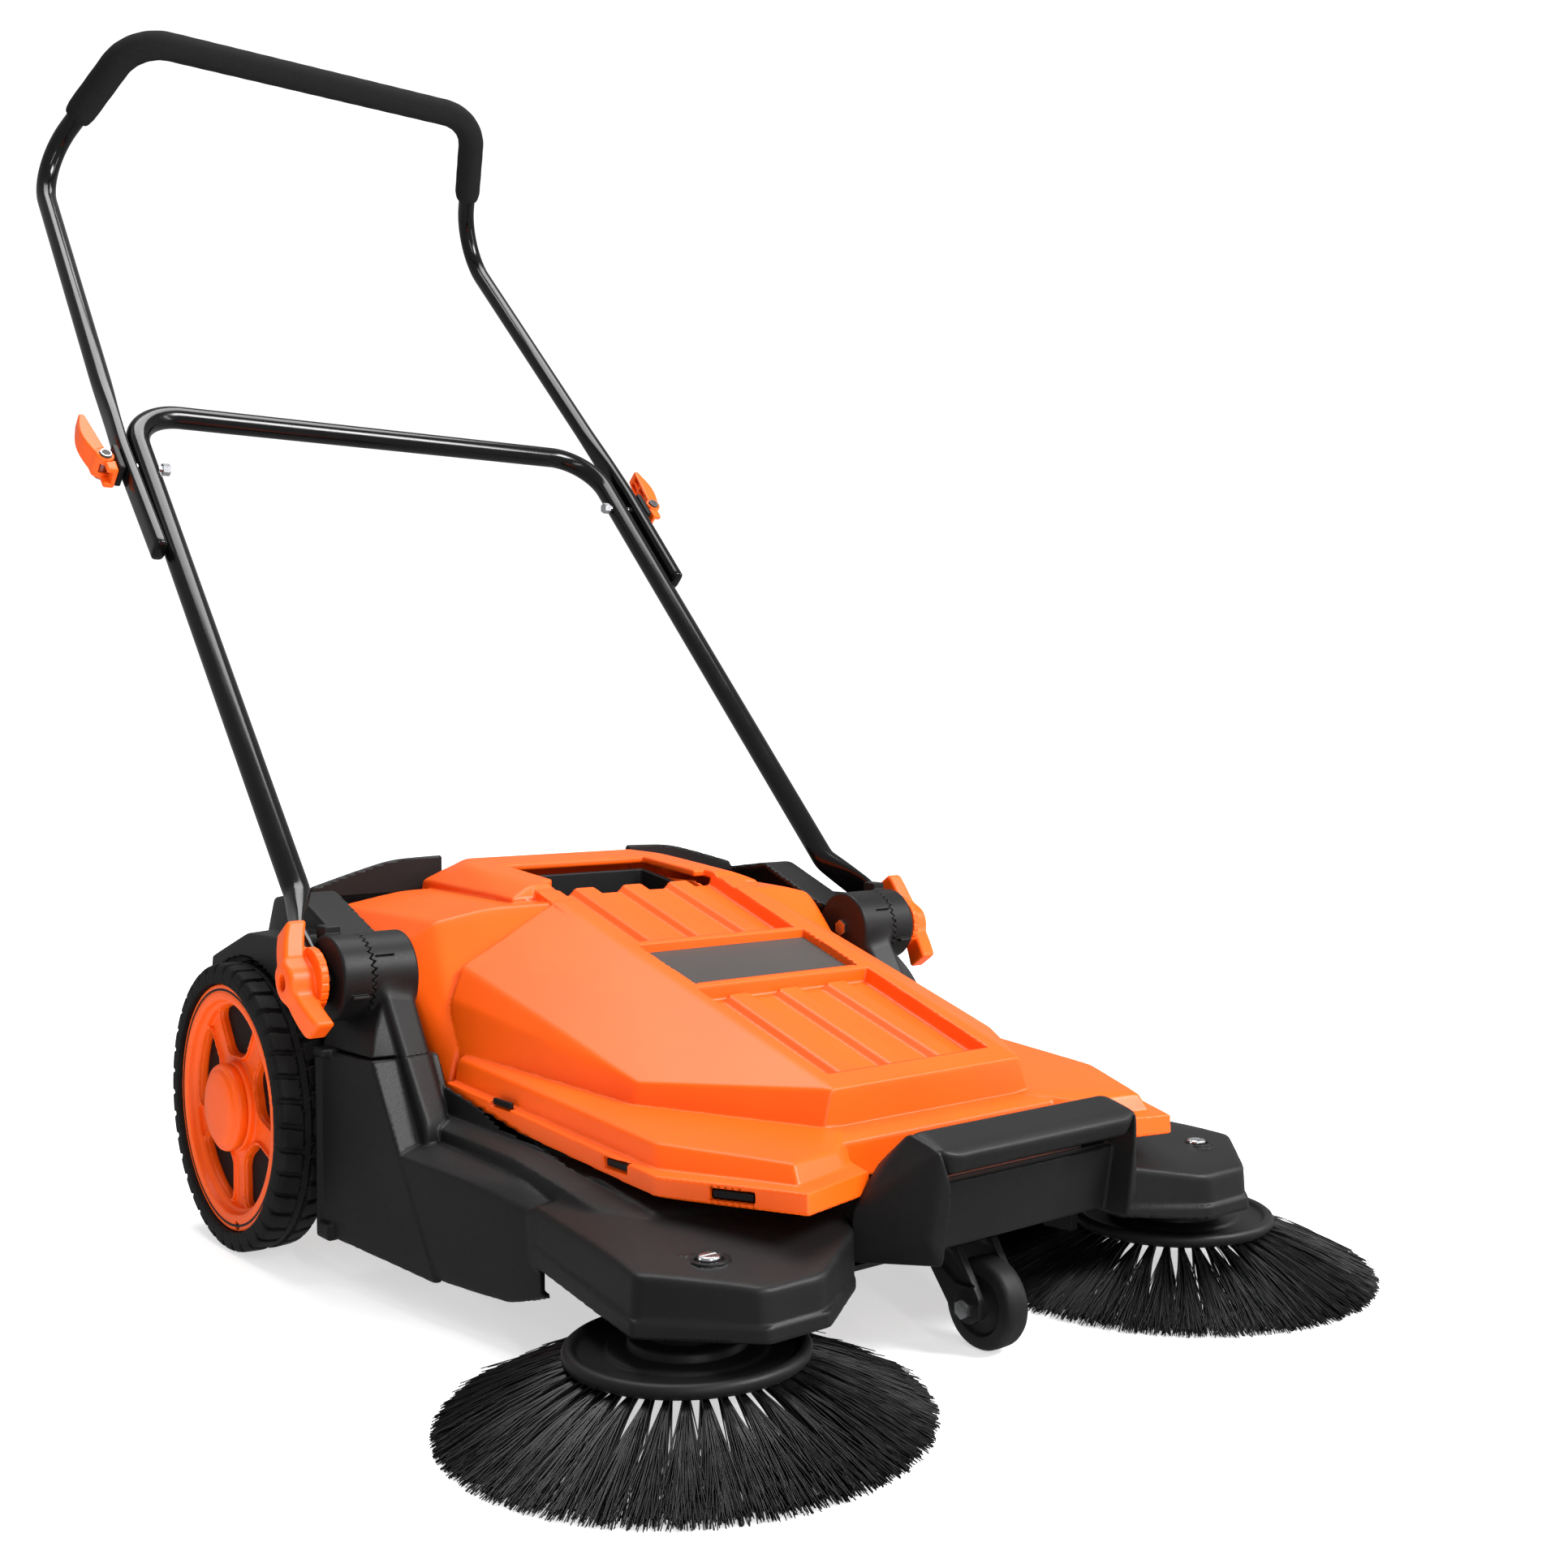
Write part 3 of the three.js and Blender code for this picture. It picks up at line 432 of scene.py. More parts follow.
    @classmethod
    def mould(cls, name: str, shape: Solid, lo: Point, hi: Point, step: float, symmetric: bool = False,
              ) -> bpy.types.Object:
        """A moulded piece: the shape's skin as a mesh object."""
        points, normals, faces = cls.skin(shape, lo, hi, step, symmetric)
        return cls.mesh(name, points, faces, normals)

    @classmethod
    def lathe(cls, name: str, profile: Sequence[tuple[float, float]], base: Point, way: Way,
              segments: int = 72, sharp: float = 35.0) -> bpy.types.Object:
        """Turned piece from a closed profile of (radius, distance along the axis).

        Args:
            name: the piece's name.
            profile: corners of the section, anticlockwise seen with the axis upwards.
            base: where the axis distance is 0.
            way: the axis.
            segments: steps round the circle.
            sharp: degrees above which an edge stays crisp.

        Returns:
            The object.
        """
        ring = np.array(profile, float)
        n = len(ring)
        angle = np.linspace(0, 2 * np.pi, segments, endpoint=False)
        r, h = np.tile(ring[:, 0], segments), np.tile(ring[:, 1], segments)
        a = np.repeat(angle, n)
        flat = [r * np.cos(a), r * np.sin(a)]
        points = np.stack([h, *flat], 1) if way is Way.X else np.stack([*flat, h], 1)
        i, j = np.meshgrid(np.arange(segments), np.arange(n), indexing="ij")
        here, right = i * n + j, ((i + 1) % segments) * n + j
        up, corner = i * n + (j + 1) % n, ((i + 1) % segments) * n + (j + 1) % n
        faces = np.stack([here, right, corner, up], -1).reshape(-1, 4)
        piece = cls.mesh(name, points + base, faces)
        cls.crisp(piece, sharp)
        return piece

    @staticmethod
    def crisp(piece: bpy.types.Object, degrees: float) -> None:
        """Keeps edges above an angle crisp and closes doubled points.

        Args:
            piece: the mesh object.
            degrees: the angle.
        """
        work = bmesh.new()
        work.from_mesh(piece.data)
        bmesh.ops.remove_doubles(work, verts=work.verts, dist=1e-6)
        bmesh.ops.recalc_face_normals(work, faces=work.faces)
        for edge in work.edges:
            edge.smooth = len(edge.link_faces) == 2 and edge.calc_face_angle(0) < math.radians(degrees)
        work.to_mesh(piece.data)
        work.free()

    @classmethod
    def tube(cls, name: str, path: Array, half: Array, square: Array, flat_way: Point, sides: int = 32,
             ) -> bpy.types.Object:
        """Bar swept along a path, with a section that may flatten on its way.

        Args:
            name: the piece's name.
            path: stations (n, 3).
            half: half-thickness and half-width at each station (n, 2).
            square: 2 for a round section up to 5 for a flattened one, at each station.
            flat_way: roughly the direction of the thickness at the first station.
            sides: points round the section.

        Returns:
            The object.
        """
        along = np.gradient(path, axis=0)
        along /= np.linalg.norm(along, axis=1, keepdims=True)
        across = np.zeros_like(path)
        previous = np.array(flat_way, float)
        for i, t in enumerate(along):
            previous = previous - previous.dot(t) * t
            previous /= np.linalg.norm(previous)
            across[i] = previous
        other = np.cross(along, across)
        angle = np.linspace(0, 2 * np.pi, sides, endpoint=False)
        c, s = np.cos(angle), np.sin(angle)
        bend = (2.0 / np.asarray(square, float))[:, None]
        x = np.sign(c) * np.abs(c) ** bend * half[:, :1]
        y = np.sign(s) * np.abs(s) ** bend * half[:, 1:]
        rings = path[:, None] + x[..., None] * across[:, None] + y[..., None] * other[:, None]
        caps = []
        for end, sign in ((0, -1), (-1, 1)):
            small = half[end].min()
            for share in (0.35, 0.75, 0.97):
                inset = 1 - 0.5 * (1 - math.sqrt(1 - share ** 2)) * 2 * small / half[end].mean() * 0.9
                caps.append(path[end] + (rings[end] - path[end]) * max(inset, 0.05)
                            + sign * along[end] * small * 0.45 * share)
        rings = np.concatenate([caps[2::-1], rings, caps[3:]])
        n = len(rings)
        points = np.concatenate([rings.reshape(-1, 3), rings[:1].mean(1), rings[-1:].mean(1)])
        i, j = np.meshgrid(np.arange(n - 1), np.arange(sides), indexing="ij")
        k = (j + 1) % sides
        faces = np.stack([i * sides + j, i * sides + k, (i + 1) * sides + k, (i + 1) * sides + j], -1)
        ends = [(n * sides + e, n * sides + e, base + (b if e else a), base + (a if e else b))
                for e, base in ((0, 0), (1, (n - 1) * sides)) for a, b in zip(range(sides), np.roll(range(sides), -1))]
        piece = cls.mesh(name, points, faces.reshape(-1, 4))
        return cls.close(piece, [tuple(int(v) for v in face[1:]) for face in ends])

    @staticmethod
    def close(piece: bpy.types.Object, extra: Sequence[tuple[int, int, int]]) -> bpy.types.Object:
        """Adds closing triangles and turns the faces outwards.

        Args:
            piece: the mesh object.
            extra: vertex numbers of each triangle.

        Returns:
            The same object.
        """
        work = bmesh.new()
        work.from_mesh(piece.data)
        work.verts.ensure_lookup_table()
        for a, b, c in extra:
            work.faces.new((work.verts[a], work.verts[b], work.verts[c])).smooth = True
        bmesh.ops.recalc_face_normals(work, faces=work.faces)
        work.to_mesh(piece.data)
        work.free()
        return piece


def bent_path(corners: Sequence[Point], radii: Sequence[float], spacing: float = 6.0) -> Array:
    """Stations along straight runs joined by round bends.

    Args:
        corners: corner points.
        radii: bend radius at each inner corner.
        spacing: distance between stations.

    Returns:
        Stations (n, 3).
    """
    p = [np.array(c, float) for c in corners]
    runs, start = [], p[0]
    for i, radius in enumerate(radii, 1):
        into, out = p[i] - p[i - 1], p[i + 1] - p[i]
        into, out = into / np.linalg.norm(into), out / np.linalg.norm(out)
        turn = math.acos(float(np.clip(into @ out, -1, 1)))
        reach = radius * math.tan(turn / 2)
        a, b = p[i] - into * reach, p[i] + out * reach
        runs.append((start, a, None))
        side = out - into * (into @ out)
        side /= np.linalg.norm(side)
        centre = a + side * radius
        steps = max(4, int(radius * turn / spacing * 1.6))
        runs.append(([centre - side * radius * math.cos(w) + into * radius * math.sin(w)
                      for w in np.linspace(0, turn, steps + 1)], None, None))
        start = b
    runs.append((start, p[-1], None))
    out_points: list[Array] = []
    for first, last, _ in runs:
        if last is None:
            out_points += first[1:-1]
        else:
            steps = max(2, int(np.linalg.norm(last - first) / spacing))
            out_points += [first + (last - first) * k / steps for k in range(steps + 1)]
    return np.array(out_points)


# ------------------------------------------------------------------ finishes


class Wire:
    """An output socket that takes part in Python expressions."""

    def __init__(self, surface: "Surface", socket: bpy.types.NodeSocket) -> None:
        """Wraps a socket of a surface's nodes."""
        self.surface, self.socket = surface, socket

    def __add__(self, other: "Wire | float") -> "Wire":
        """Sum."""
        return self.surface.maths("ADD", self, other)

    def __sub__(self, other: "Wire | float") -> "Wire":
        """Difference."""
        return self.surface.maths("SUBTRACT", self, other)

    def __rsub__(self, other: float) -> "Wire":
        """A number minus the wire."""
        return self.surface.maths("SUBTRACT", other, self)

    def __mul__(self, other: "Wire | float") -> "Wire":
        """Product."""
        return self.surface.maths("MULTIPLY", self, other)

    __radd__ = __add__
    __rmul__ = __mul__


Colour = tuple[float, float, float]


class Surface:
    """A material in the making: one Principled shader and the nodes that feed it."""

    def __init__(self, name: str) -> None:
        """Starts a material.

        Args:
            name: the material's name.
        """
        self.material = bpy.data.materials.new(name)
        self.material.use_nodes = True
        self.nodes = self.material.node_tree.nodes
        self.links = self.material.node_tree.links
        self.shader = self.nodes["Principled BSDF"]
        self.place = self.node("ShaderNodeTexCoord", {}, {}, "Object")

    def node(self, kind: str, settings: dict, inputs: dict, output: str | int = 0) -> Wire:
        """Adds a node.

        Args:
            kind: the node's type.
            settings: attributes, set before the sockets.
            inputs: values or wires by socket name or number.
            output: which output to hand back.

        Returns:
            The chosen output.
        """
        made = self.nodes.new(kind)
        for key, value in settings.items():
            setattr(made, key, value)
        for key, value in inputs.items():
            self.feed(made.inputs[key], value)
        return Wire(self, made.outputs[output])

    def feed(self, socket: bpy.types.NodeSocket, value: "Wire | float | Sequence[float]") -> None:
        """Links a wire to a socket or sets its value."""
        if isinstance(value, Wire):
            self.links.new(value.socket, socket)
        else:
            socket.default_value = value

    def maths(self, operation: str, *values: "Wire | float") -> Wire:
        """A Math node on values."""
        return self.node("ShaderNodeMath", {"operation": operation}, dict(enumerate(values)))

    def noise(self, scale: float, detail: float = 2.0, rough: float = 0.5) -> Wire:
        """Noise on the object's own coordinates, features per metre."""
        return self.node("ShaderNodeTexNoise", {},
                         {"Vector": self.place, "Scale": scale, "Detail": detail, "Roughness": rough}, 0)

    def cells(self, scale: float, feature: str = "F1") -> Wire:
        """Distance to the cells of a Voronoi pattern, cells per metre."""
        return self.node("ShaderNodeTexVoronoi", {"feature": feature}, {"Vector": self.place, "Scale": scale},
                         "Distance")

    def span(self, wire: Wire, low: float, high: float, to_low: float = 0.0, to_high: float = 1.0) -> Wire:
        """Maps a range of values onto another, clamped."""
        return self.node("ShaderNodeMapRange", {"clamp": True}, dict(enumerate((wire, low, high, to_low, to_high))))

    def blend(self, share: Wire, first: "Colour | Wire", second: "Colour | Wire") -> Wire:
        """Mixes two colours."""
        pick = {0: share, 6: self.colour(first), 7: self.colour(second)}
        return self.node("ShaderNodeMix", {"data_type": "RGBA"}, pick, 2)

    @staticmethod
    def colour(value: "Colour | Wire") -> "Wire | tuple[float, float, float, float]":
        """A colour ready for a socket."""
        return value if isinstance(value, Wire) else (*value, 1.0)

    def relief(self, height: Wire, depth: float, strength: float = 1.0) -> None:
        """Feeds bump from a height field.

        Args:
            height: values from 0 to 1.
            depth: metres between 0 and 1.
            strength: share of the effect.
        """
        bump = self.node("ShaderNodeBump", {}, {"Height": height, "Distance": depth, "Strength": strength})
        self.feed(self.shader.inputs["Normal"], bump)

    def set(self, **values: "Wire | float | Sequence[float]") -> None:
        """Sets the shader's sockets; underscores in the names stand for spaces."""
        for key, value in values.items():
            self.feed(self.shader.inputs[key.replace("_", " ")], value)


@dataclass(frozen=True)
class Moulded:
    """Injection-moulded plastic: a spark-eroded grain with slight flow shades."""

    name: str
    tone: Colour
    shade: Colour
    rough: float
    grain: float = 0.00006
    pitch: float = 1500.0
    sheen: float = 0.45

    def make(self) -> bpy.types.Material:
        """The material."""
        s = Surface(self.name)
        flow = s.span(s.noise(9.0, 3.0), 0.35, 0.65)
        fine = s.noise(self.pitch, 3.0, 0.6)
        fleck = s.span(fine, 0.3, 0.7)
        scuff = s.span(s.noise(160.0, 4.0, 0.7), 0.62, 0.8)
        base = s.blend(flow * 0.7 + fleck * 0.3, self.shade, self.tone)
        s.set(Base_Color=base, Roughness=self.rough + (fleck - 0.5) * 0.12 + scuff * 0.08,
              Specular_IOR_Level=self.sheen)
        s.relief(fine * 0.8 + s.cells(self.pitch * 0.6) * 0.4, self.grain)
        return s.material


@dataclass(frozen=True)
class Coated:
    """Gloss powder coat on tube, with the faint orange peel of a sprayed film."""

    name: str
    tone: Colour
    rough: float = 0.15

    def make(self) -> bpy.types.Material:
        """The material."""
        s = Surface(self.name)
        peel = s.noise(300.0, 1.0)
        dust = s.span(s.noise(2300.0, 2.0), 0.7, 0.8)
        s.set(Base_Color=s.blend(dust * 0.2, self.tone, (0.05, 0.05, 0.052)),
              Roughness=self.rough + dust * 0.15 + s.span(s.noise(30.0), 0.4, 0.7) * 0.05,
              Specular_IOR_Level=0.34)
        s.relief(peel, 0.00002, 0.5)
        return s.material


@dataclass(frozen=True)
class Foam:
    """Closed-cell foam sleeve: small open pores in a dull skin, with painted shade darkening the pores."""

    name: str
    tone: Colour

    def make(self) -> bpy.types.Material:
        """The material."""
        s = Surface(self.name)
        pores, lumps = s.cells(1500.0), s.noise(260.0, 3.0)
        # painted shade: the base colour falls to 0.45 of the tone inside the pores' dents, where shade would fall
        base = s.blend(s.span(pores, 0.1, 0.6), tuple(c * 0.45 for c in self.tone), self.tone)
        s.set(Base_Color=base, Roughness=0.9 + lumps * 0.08, Specular_IOR_Level=0.15)
        s.relief(s.span(pores, 0.05, 0.55) * 0.6 + lumps * 0.6, 0.0005)
        return s.material


@dataclass(frozen=True)
class Rubber:
    """Moulded rubber: dull, slightly mottled, with faint bloom."""

    name: str
    tone: Colour
    rough: float = 0.62

    def make(self) -> bpy.types.Material:
        """The material."""
        s = Surface(self.name)
        bloom = s.span(s.noise(26.0, 4.0), 0.45, 0.75)
        grit = s.noise(1700.0, 3.0, 0.6)
        s.set(Base_Color=s.blend(bloom * 0.6 + grit * 0.2, self.tone, tuple(2.2 * c + 0.004 for c in self.tone)),
              Roughness=self.rough + bloom * 0.12 + (grit - 0.5) * 0.1, Specular_IOR_Level=0.2)
        s.relief(grit, 0.0001)
        return s.material


@dataclass(frozen=True)
class Strands:
    """Crimped nylon bristles: dark strands, each a little different, with a glossy side."""

    name: str
    tone: Colour

    def make(self) -> bpy.types.Material:
        """The material."""
        s = Surface(self.name)
        own = s.noise(420.0, 2.0)
        s.set(Base_Color=s.blend(s.span(own, 0.35, 0.75), self.tone, tuple(3.2 * c for c in self.tone)),
              Roughness=0.24 + own * 0.2, Specular_IOR_Level=0.3)
        s.relief(s.noise(2600.0, 1.0), 0.0001, 0.5)
        return s.material


@dataclass(frozen=True)
class Plated:
    """Zinc-plated or chromed steel with faint turning marks."""

    name: str
    tone: Colour
    rough: float

    def make(self) -> bpy.types.Material:
        """The material."""
        s = Surface(self.name)
        marks = s.noise(900.0, 4.0, 0.7)
        cloud = s.span(s.noise(70.0, 3.0), 0.35, 0.7)
        s.set(Base_Color=s.blend(cloud, tuple(c * 0.8 for c in self.tone), self.tone), Metallic=1.0,
              Roughness=self.rough + marks * 0.12 + cloud * 0.05)
        s.relief(marks, 0.00003)
        return s.material


class Finishes:
    """Every finish on the machine, by the record's slot name."""

    RECIPES = {
        "orange_plastic": Moulded("orange_plastic", (0.95, 0.108, 0.002), (0.88, 0.094, 0.0015), 0.40, 0.00003,
                                  sheen=0.3),
        "black_plastic": Moulded("black_plastic", (0.0095, 0.0095, 0.0098), (0.006, 0.006, 0.0062), 0.46, 0.00010,
                                 1250.0, 0.22),
        "badge_plastic": Moulded("badge_plastic", (0.055, 0.050, 0.047), (0.045, 0.041, 0.039), 0.55, 0.00006,
                                 sheen=0.25),
        "coated_tube": Coated("coated_tube", (0.0025, 0.0025, 0.0027)),
        "grip_foam": Foam("grip_foam", (0.009, 0.009, 0.0094)),
        "tyre_rubber": Rubber("tyre_rubber", (0.004, 0.004, 0.0043)),
        "grey_rubber": Rubber("grey_rubber", (0.007, 0.007, 0.0075), 0.5),
        "belt_rubber": Rubber("belt_rubber", (0.014, 0.014, 0.014), 0.55),
        "bristle_plastic": Strands("bristle_plastic", (0.0015, 0.0015, 0.0016)),
        "zinc_steel": Plated("zinc_steel", (0.66, 0.67, 0.69), 0.2),
    }

    def __init__(self) -> None:
        """Makes all the materials."""
        self.made = {slot: recipe.make() for slot, recipe in self.RECIPES.items()}

    def wear(self, piece: bpy.types.Object, slot: str) -> None:
        """Dresses a new piece in a slot's finish.

        Args:
            piece: the mesh object.
            slot: name of the finish.
        """
        piece.data.materials.clear()
        piece.data.materials.append(self.made[slot])

    def repaint(self, nodes: dict[str, bpy.types.Object]) -> None:
        """Gives the carried-over CAD nodes their finishes.

        Args:
            nodes: the frame's nodes by name.
        """
        for name, node in nodes.items():
            slot = self.slot_of(name)
            for holder in node.material_slots:
                holder.material = self.made[slot]

    @staticmethod
    def slot_of(name: str) -> str:
        """The finish of a CAD node from what it is."""
        words = {
            "tyre": "tyre_rubber", "caster_wheel": "grey_rubber", "belt": "belt_rubber", "bristles": "bristle_plastic",
            "bolt": "zinc_steel", "screw": "zinc_steel", "spindle": "zinc_steel", "axle": "zinc_steel",
            "lid": "orange_plastic", "rim": "orange_plastic", "cap": "orange_plastic", "knob": "orange_plastic",
            "lever": "orange_plastic", "badge": "badge_plastic", "foam": "grip_foam", "leg": "coated_tube",
            "cross_tube": "coated_tube",
        }
        return next((slot for word, slot in words.items() if word in name), "black_plastic")


@dataclass
class Workshop:
    """What every sub-assembly needs: the finishes, and how fine to work."""

    finishes: Finishes
    coarse: float = 1.0

    def fit(self, piece: bpy.types.Object, body: str, slot: str, *nodes: str) -> None:
        """Dresses a piece, puts it on a body and lets it stand for CAD nodes.

        Args:
            piece: the mesh object.
            body: the body that it moves with.
            slot: name of the finish.
            nodes: CAD nodes that it stands for.
        """
        self.finishes.wear(piece, slot)
        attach(piece, body)
        if nodes:
            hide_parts(*nodes)
        LOG.info("%s: %d faces", piece.name, len(piece.data.polygons))

    def pair(self, piece: bpy.types.Object, body: str, slot: str, node: str = "") -> None:
        """Fits a left-hand piece and its mirror image, each to its own side's body and node.

        Args:
            piece: the left-hand mesh object.
            body: the left-hand body.
            slot: name of the finish.
            node: the left-hand CAD node that it stands for, if any.
        """
        self.fit(piece, body, slot, *filter(None, [node]))
        self.fit(self.twin(piece, piece.name.replace("left", "right")), body.replace("left", "right"), slot,
                 *filter(None, [node.replace("left", "right")]))

    def twin(self, piece: bpy.types.Object, name: str) -> bpy.types.Object:
        """The mirror image of a piece across x = 0.

        Args:
            piece: the piece.
            name: the new piece's name.

        Returns:
            The mirrored object.
        """
        mesh = piece.data.copy()
        mesh.name = name
        held = np.empty(len(mesh.loops) * 3, np.float32)
        mesh.corner_normals.foreach_get("vector", held)
        own = bool(mesh.has_custom_normals)
        mesh.transform(Matrix.Scale(-1, 4, Vector((1, 0, 0))))
        mesh.flip_normals()
        if own:
            spread = np.empty(len(mesh.vertices) * 3, np.float32).reshape(-1, 3)
            index = np.empty(len(mesh.loops), np.int32)
            piece.data.loops.foreach_get("vertex_index", index)
            spread[index] = held.reshape(-1, 3) * (-1, 1, 1)
            mesh.normals_split_custom_set_from_vertices(spread)
        made = bpy.data.objects.new(name, mesh)
        bpy.context.scene.collection.objects.link(made)
        return made


# ------------------------------------------------------------------ the hopper


@dataclass
class Hopper:
    """Orange lid over the black tub, with ribbed panel, rails and a hand recess."""

    shop: Workshop
    flange: float = 262.0
    wall: float = 7.5
    panel_half: float = 98.0
    panel_start: float = 380.2
    panel_fall: float = 0.302
    edge: float = 3.2
    rib_places: tuple[float, ...] = (-57.0, 0.0, 57.0)
    rib_foot: float = 17.0
    rib_top: float = 11.0
    rib_rise: float = 6.4

    def panel(self, y: float) -> float:
        """Height of the sloping centre panel at y."""
        return self.panel_start + self.panel_fall * y

    def on_panel(self, points: Iterable[Point]) -> list[Point]:
        """Points given with their height over the panel, mirrored."""
        return both([(x, y, self.panel(y) + up) for x, y, up in points])

    def masses(self, low: float) -> list[Solid]:
        """The lid's convex masses, with the open side dropped by low.

        Args:
            low: millimetres by which the open side is dropped.

        Returns:
            The masses.
        """
        f = self.flange
        middle = [(122, -215, 172 - low), (122, -600, 149 - low), (122, -215, 205), (122, -598, 180), (60, -215, 230),
                  (118, -560, 188)]
        plateau = [(236, -168, 215 - low), (248, -200, 170 - low), (219, -438, 156 - low), (126, -574, 156 - low),
                   (222, -172, 284), (240, -184, 254), (245, -202, 216), (205, -437, 214), (212, -430, 188),
                   (107, -570, 216), (120, -564, 188), (118, -168, 338)]
        shoulder = [(f - 4, -209, 178 - low), (f, -139, 247 - low), (f, -20, 304 - low), (f - 8, 54, 312 - low),
                    (f - 2, -142, 264), (f - 14, -120, 306), (226, -130, 322), (180, -140, 333),
                    (f - 18, 40, 326), (180, 30, 338), (215, -168, 282),
                    (240, -178, 252), (246, -206, 215), (118, -168, 336)]
        crown = [(150, -140, 250 - low), (150, 56, 310 - low), (122, -128, 351),
                 (122, 0, 363), (104, 38, 366), (150, -140, 340), (150, 44, 346)]
        tongue = [(112, 30, 364), (112, 52, 356), (112, 66, 300 - low), (112, 30, 300 - low)]
        rim = [(f, -215, 172 - low), (f, -545, 150 - low), (205, -660, 149 - low), (128, -640, 149 - low),
               (112, -585, 149 - low), (f, -215, 188), (f, -545, 166), (205, -659, 166), (128, -639, 166),
               (112, -585, 166), (100, -215, 172 - low), (100, -215, 188)]
        band = [(257, -215, 170 - low), (255, -540, 150 - low), (203, -651, 150 - low), (133, -634, 150 - low),
                (112, -585, 150 - low), (100, -215, 170 - low), (250, -215, 207), (248, -527, 186), (195, -631, 182),
                (139, -615, 180), (240, -215, 212), (214, -436, 192), (122, -572, 186), (100, -572, 186),
                (100, -215, 212)]
        masses = [block(both(points), edge) for points, edge in (
            (middle, 4.0), (plateau, 2.5), (shoulder, self.edge), (crown, self.edge), (tongue, self.edge))]
        return masses + [block(rim, 2.2).mirrored(), block(band, 3.0).mirrored()]

    def rails(self) -> list[Solid]:
        """The two long rails beside the panel, fading towards the front."""
        def run(x0: float, y0: float, up0: float, x1: float, y1: float, up1: float) -> Solid:
            """One stretch of rail between two places on the panel."""
            return block(both([(x0, y0, self.panel(y0) + up0), (x1, y1, self.panel(y1) + up1),
                               (x0 + 4, y0, 290), (x1 + 2, y1, 190)]), 2.0)
        return [run(119, -84, -1.0, 124, -146, 8.2), run(124, -144, 8.3, 118, -290, 2),
                run(118.4, -280, 2.4, 110, -552, 1.5)]

    def ribs(self, y0: float, y1: float) -> list[Solid]:
        """Ribs along a bay from y0 to y1.

        Args:
            y0: rear end.
            y1: front end.

        Returns:
            The ribs.
        """
        bars = []
        for x in self.rib_places:
            foot, top = self.rib_foot, self.rib_top
            low0, low1 = self.panel(y0) - 12, self.panel(y1) - 12
            up0, up1 = self.panel(y0) - 6 + self.rib_rise, self.panel(y1) - 6 + self.rib_rise
            bars.append(block([(x - foot, y0, low0), (x + foot, y0, low0), (x - foot, y1, low1), (x + foot, y1, low1),
                               (x - foot, y0, low0 + 6), (x + foot, y0, low0 + 6), (x - foot, y1, low1 + 6),
                               (x + foot, y1, low1 + 6), (x - top, y0, up0), (x + top, y0, up0), (x - top, y1, up1),
                               (x + top, y1, up1)], 1.6))
        return bars

    def shape(self) -> Solid:
        """The whole lid."""
        whole = together(self.masses(0), 1.5).fused(together(self.rails(), 1.5), 2.0)
        deep = together(self.masses(24))
        under = block(both([(126, -122, self.panel(-122) - 6 - self.wall),
                            (112, -552, self.panel(-552) - 6 - self.wall),
                            (126, -122, 420), (112, -552, 420)]), 1.0)
        hollow = deep.grown(-self.wall) - under

        def bay(y0: float, y1: float) -> Solid:
            """Sunk bay of the panel from y0 to y1."""
            h = self.panel_half
            return block(self.on_panel([(h, y0, -6), (h - 8, y1, -6), (h + 5, y0, 20), (h - 3, y1, 20)]), 3.0)
        grab = block(both([(86, -121, 294), (86, -13.5, 294), (87, -122, 400), (87, -13, 400)]), 4.0)
        tray = slab((-90, -124, 289), (90, -9, 342), 3.0)
        tray = (tray & Solid(whole.distance)) - grab
        shell = (whole - hollow) | tray
        seat = block(self.on_panel([(98.6, -279.6, -2.4), (95.4, -365.4, -2.4), (98.6, -279.6, 60),
                                    (95.4, -365.4, 60)]), 2.5)
        shell = shell.carved(bay(-110, -272), 1.6).carved(bay(-374, -545), 1.6).carved(seat, 1.0)
        shell = shell.carved(grab, 2.5)
        bars = together(self.ribs(-112, -262) + self.ribs(-378, -535), 0.0)
        rear_cut = slab((-120, -121, 250), (120, -10, 420), 2.0)
        shell = shell.fused(bars - rear_cut, 1.5)
        for y, z in ((-310, 183), (-490, 164)):
            slot = slab((self.flange - 5, y - 17, z - 4.5), (self.flange + 9, y + 17, z + 4.5), 1.2)
            shell = shell.carved(slot.mirrored(), 0.8)
        return shell.carved(self.corner_slot(19, 4.5, -9, 8), 0.8)

    def corner_slot(self, half: float, high: float, inward: float, outward: float) -> Solid:
        """Box across the flange's slanting front corner, mirrored.

        Args:
            half: half its length along the edge.
            high: half its height.
            inward: how far in it starts from the edge.
            outward: how far out it ends.

        Returns:
            The box.
        """
        along, out, mid = np.array([-0.444, -0.896, 0]), np.array([0.896, -0.444, 0]), np.array([232.5, -603, 157.5])
        corners = [tuple(mid + along * a + out * o + (0, 0, h)) for a in (-half, half) for o in (inward, outward)
                   for h in (-high, high)]
        return block(corners, 1.0).mirrored()

    def tabs(self) -> bpy.types.Object:
        """Black tabs that show in the flange's slots."""
        shape = together([slab((self.flange - 6, y - 15, z - 3), (self.flange - 2.2, y + 15, z + 3), 1.0).mirrored()
                          for y, z in ((-310, 183), (-490, 164))]) | self.corner_slot(17, 3.0, -8, -2.2)
        return Shop.mould("flange_tabs", shape, (0, -640, 150), (270, -290, 192), 1.2, True)

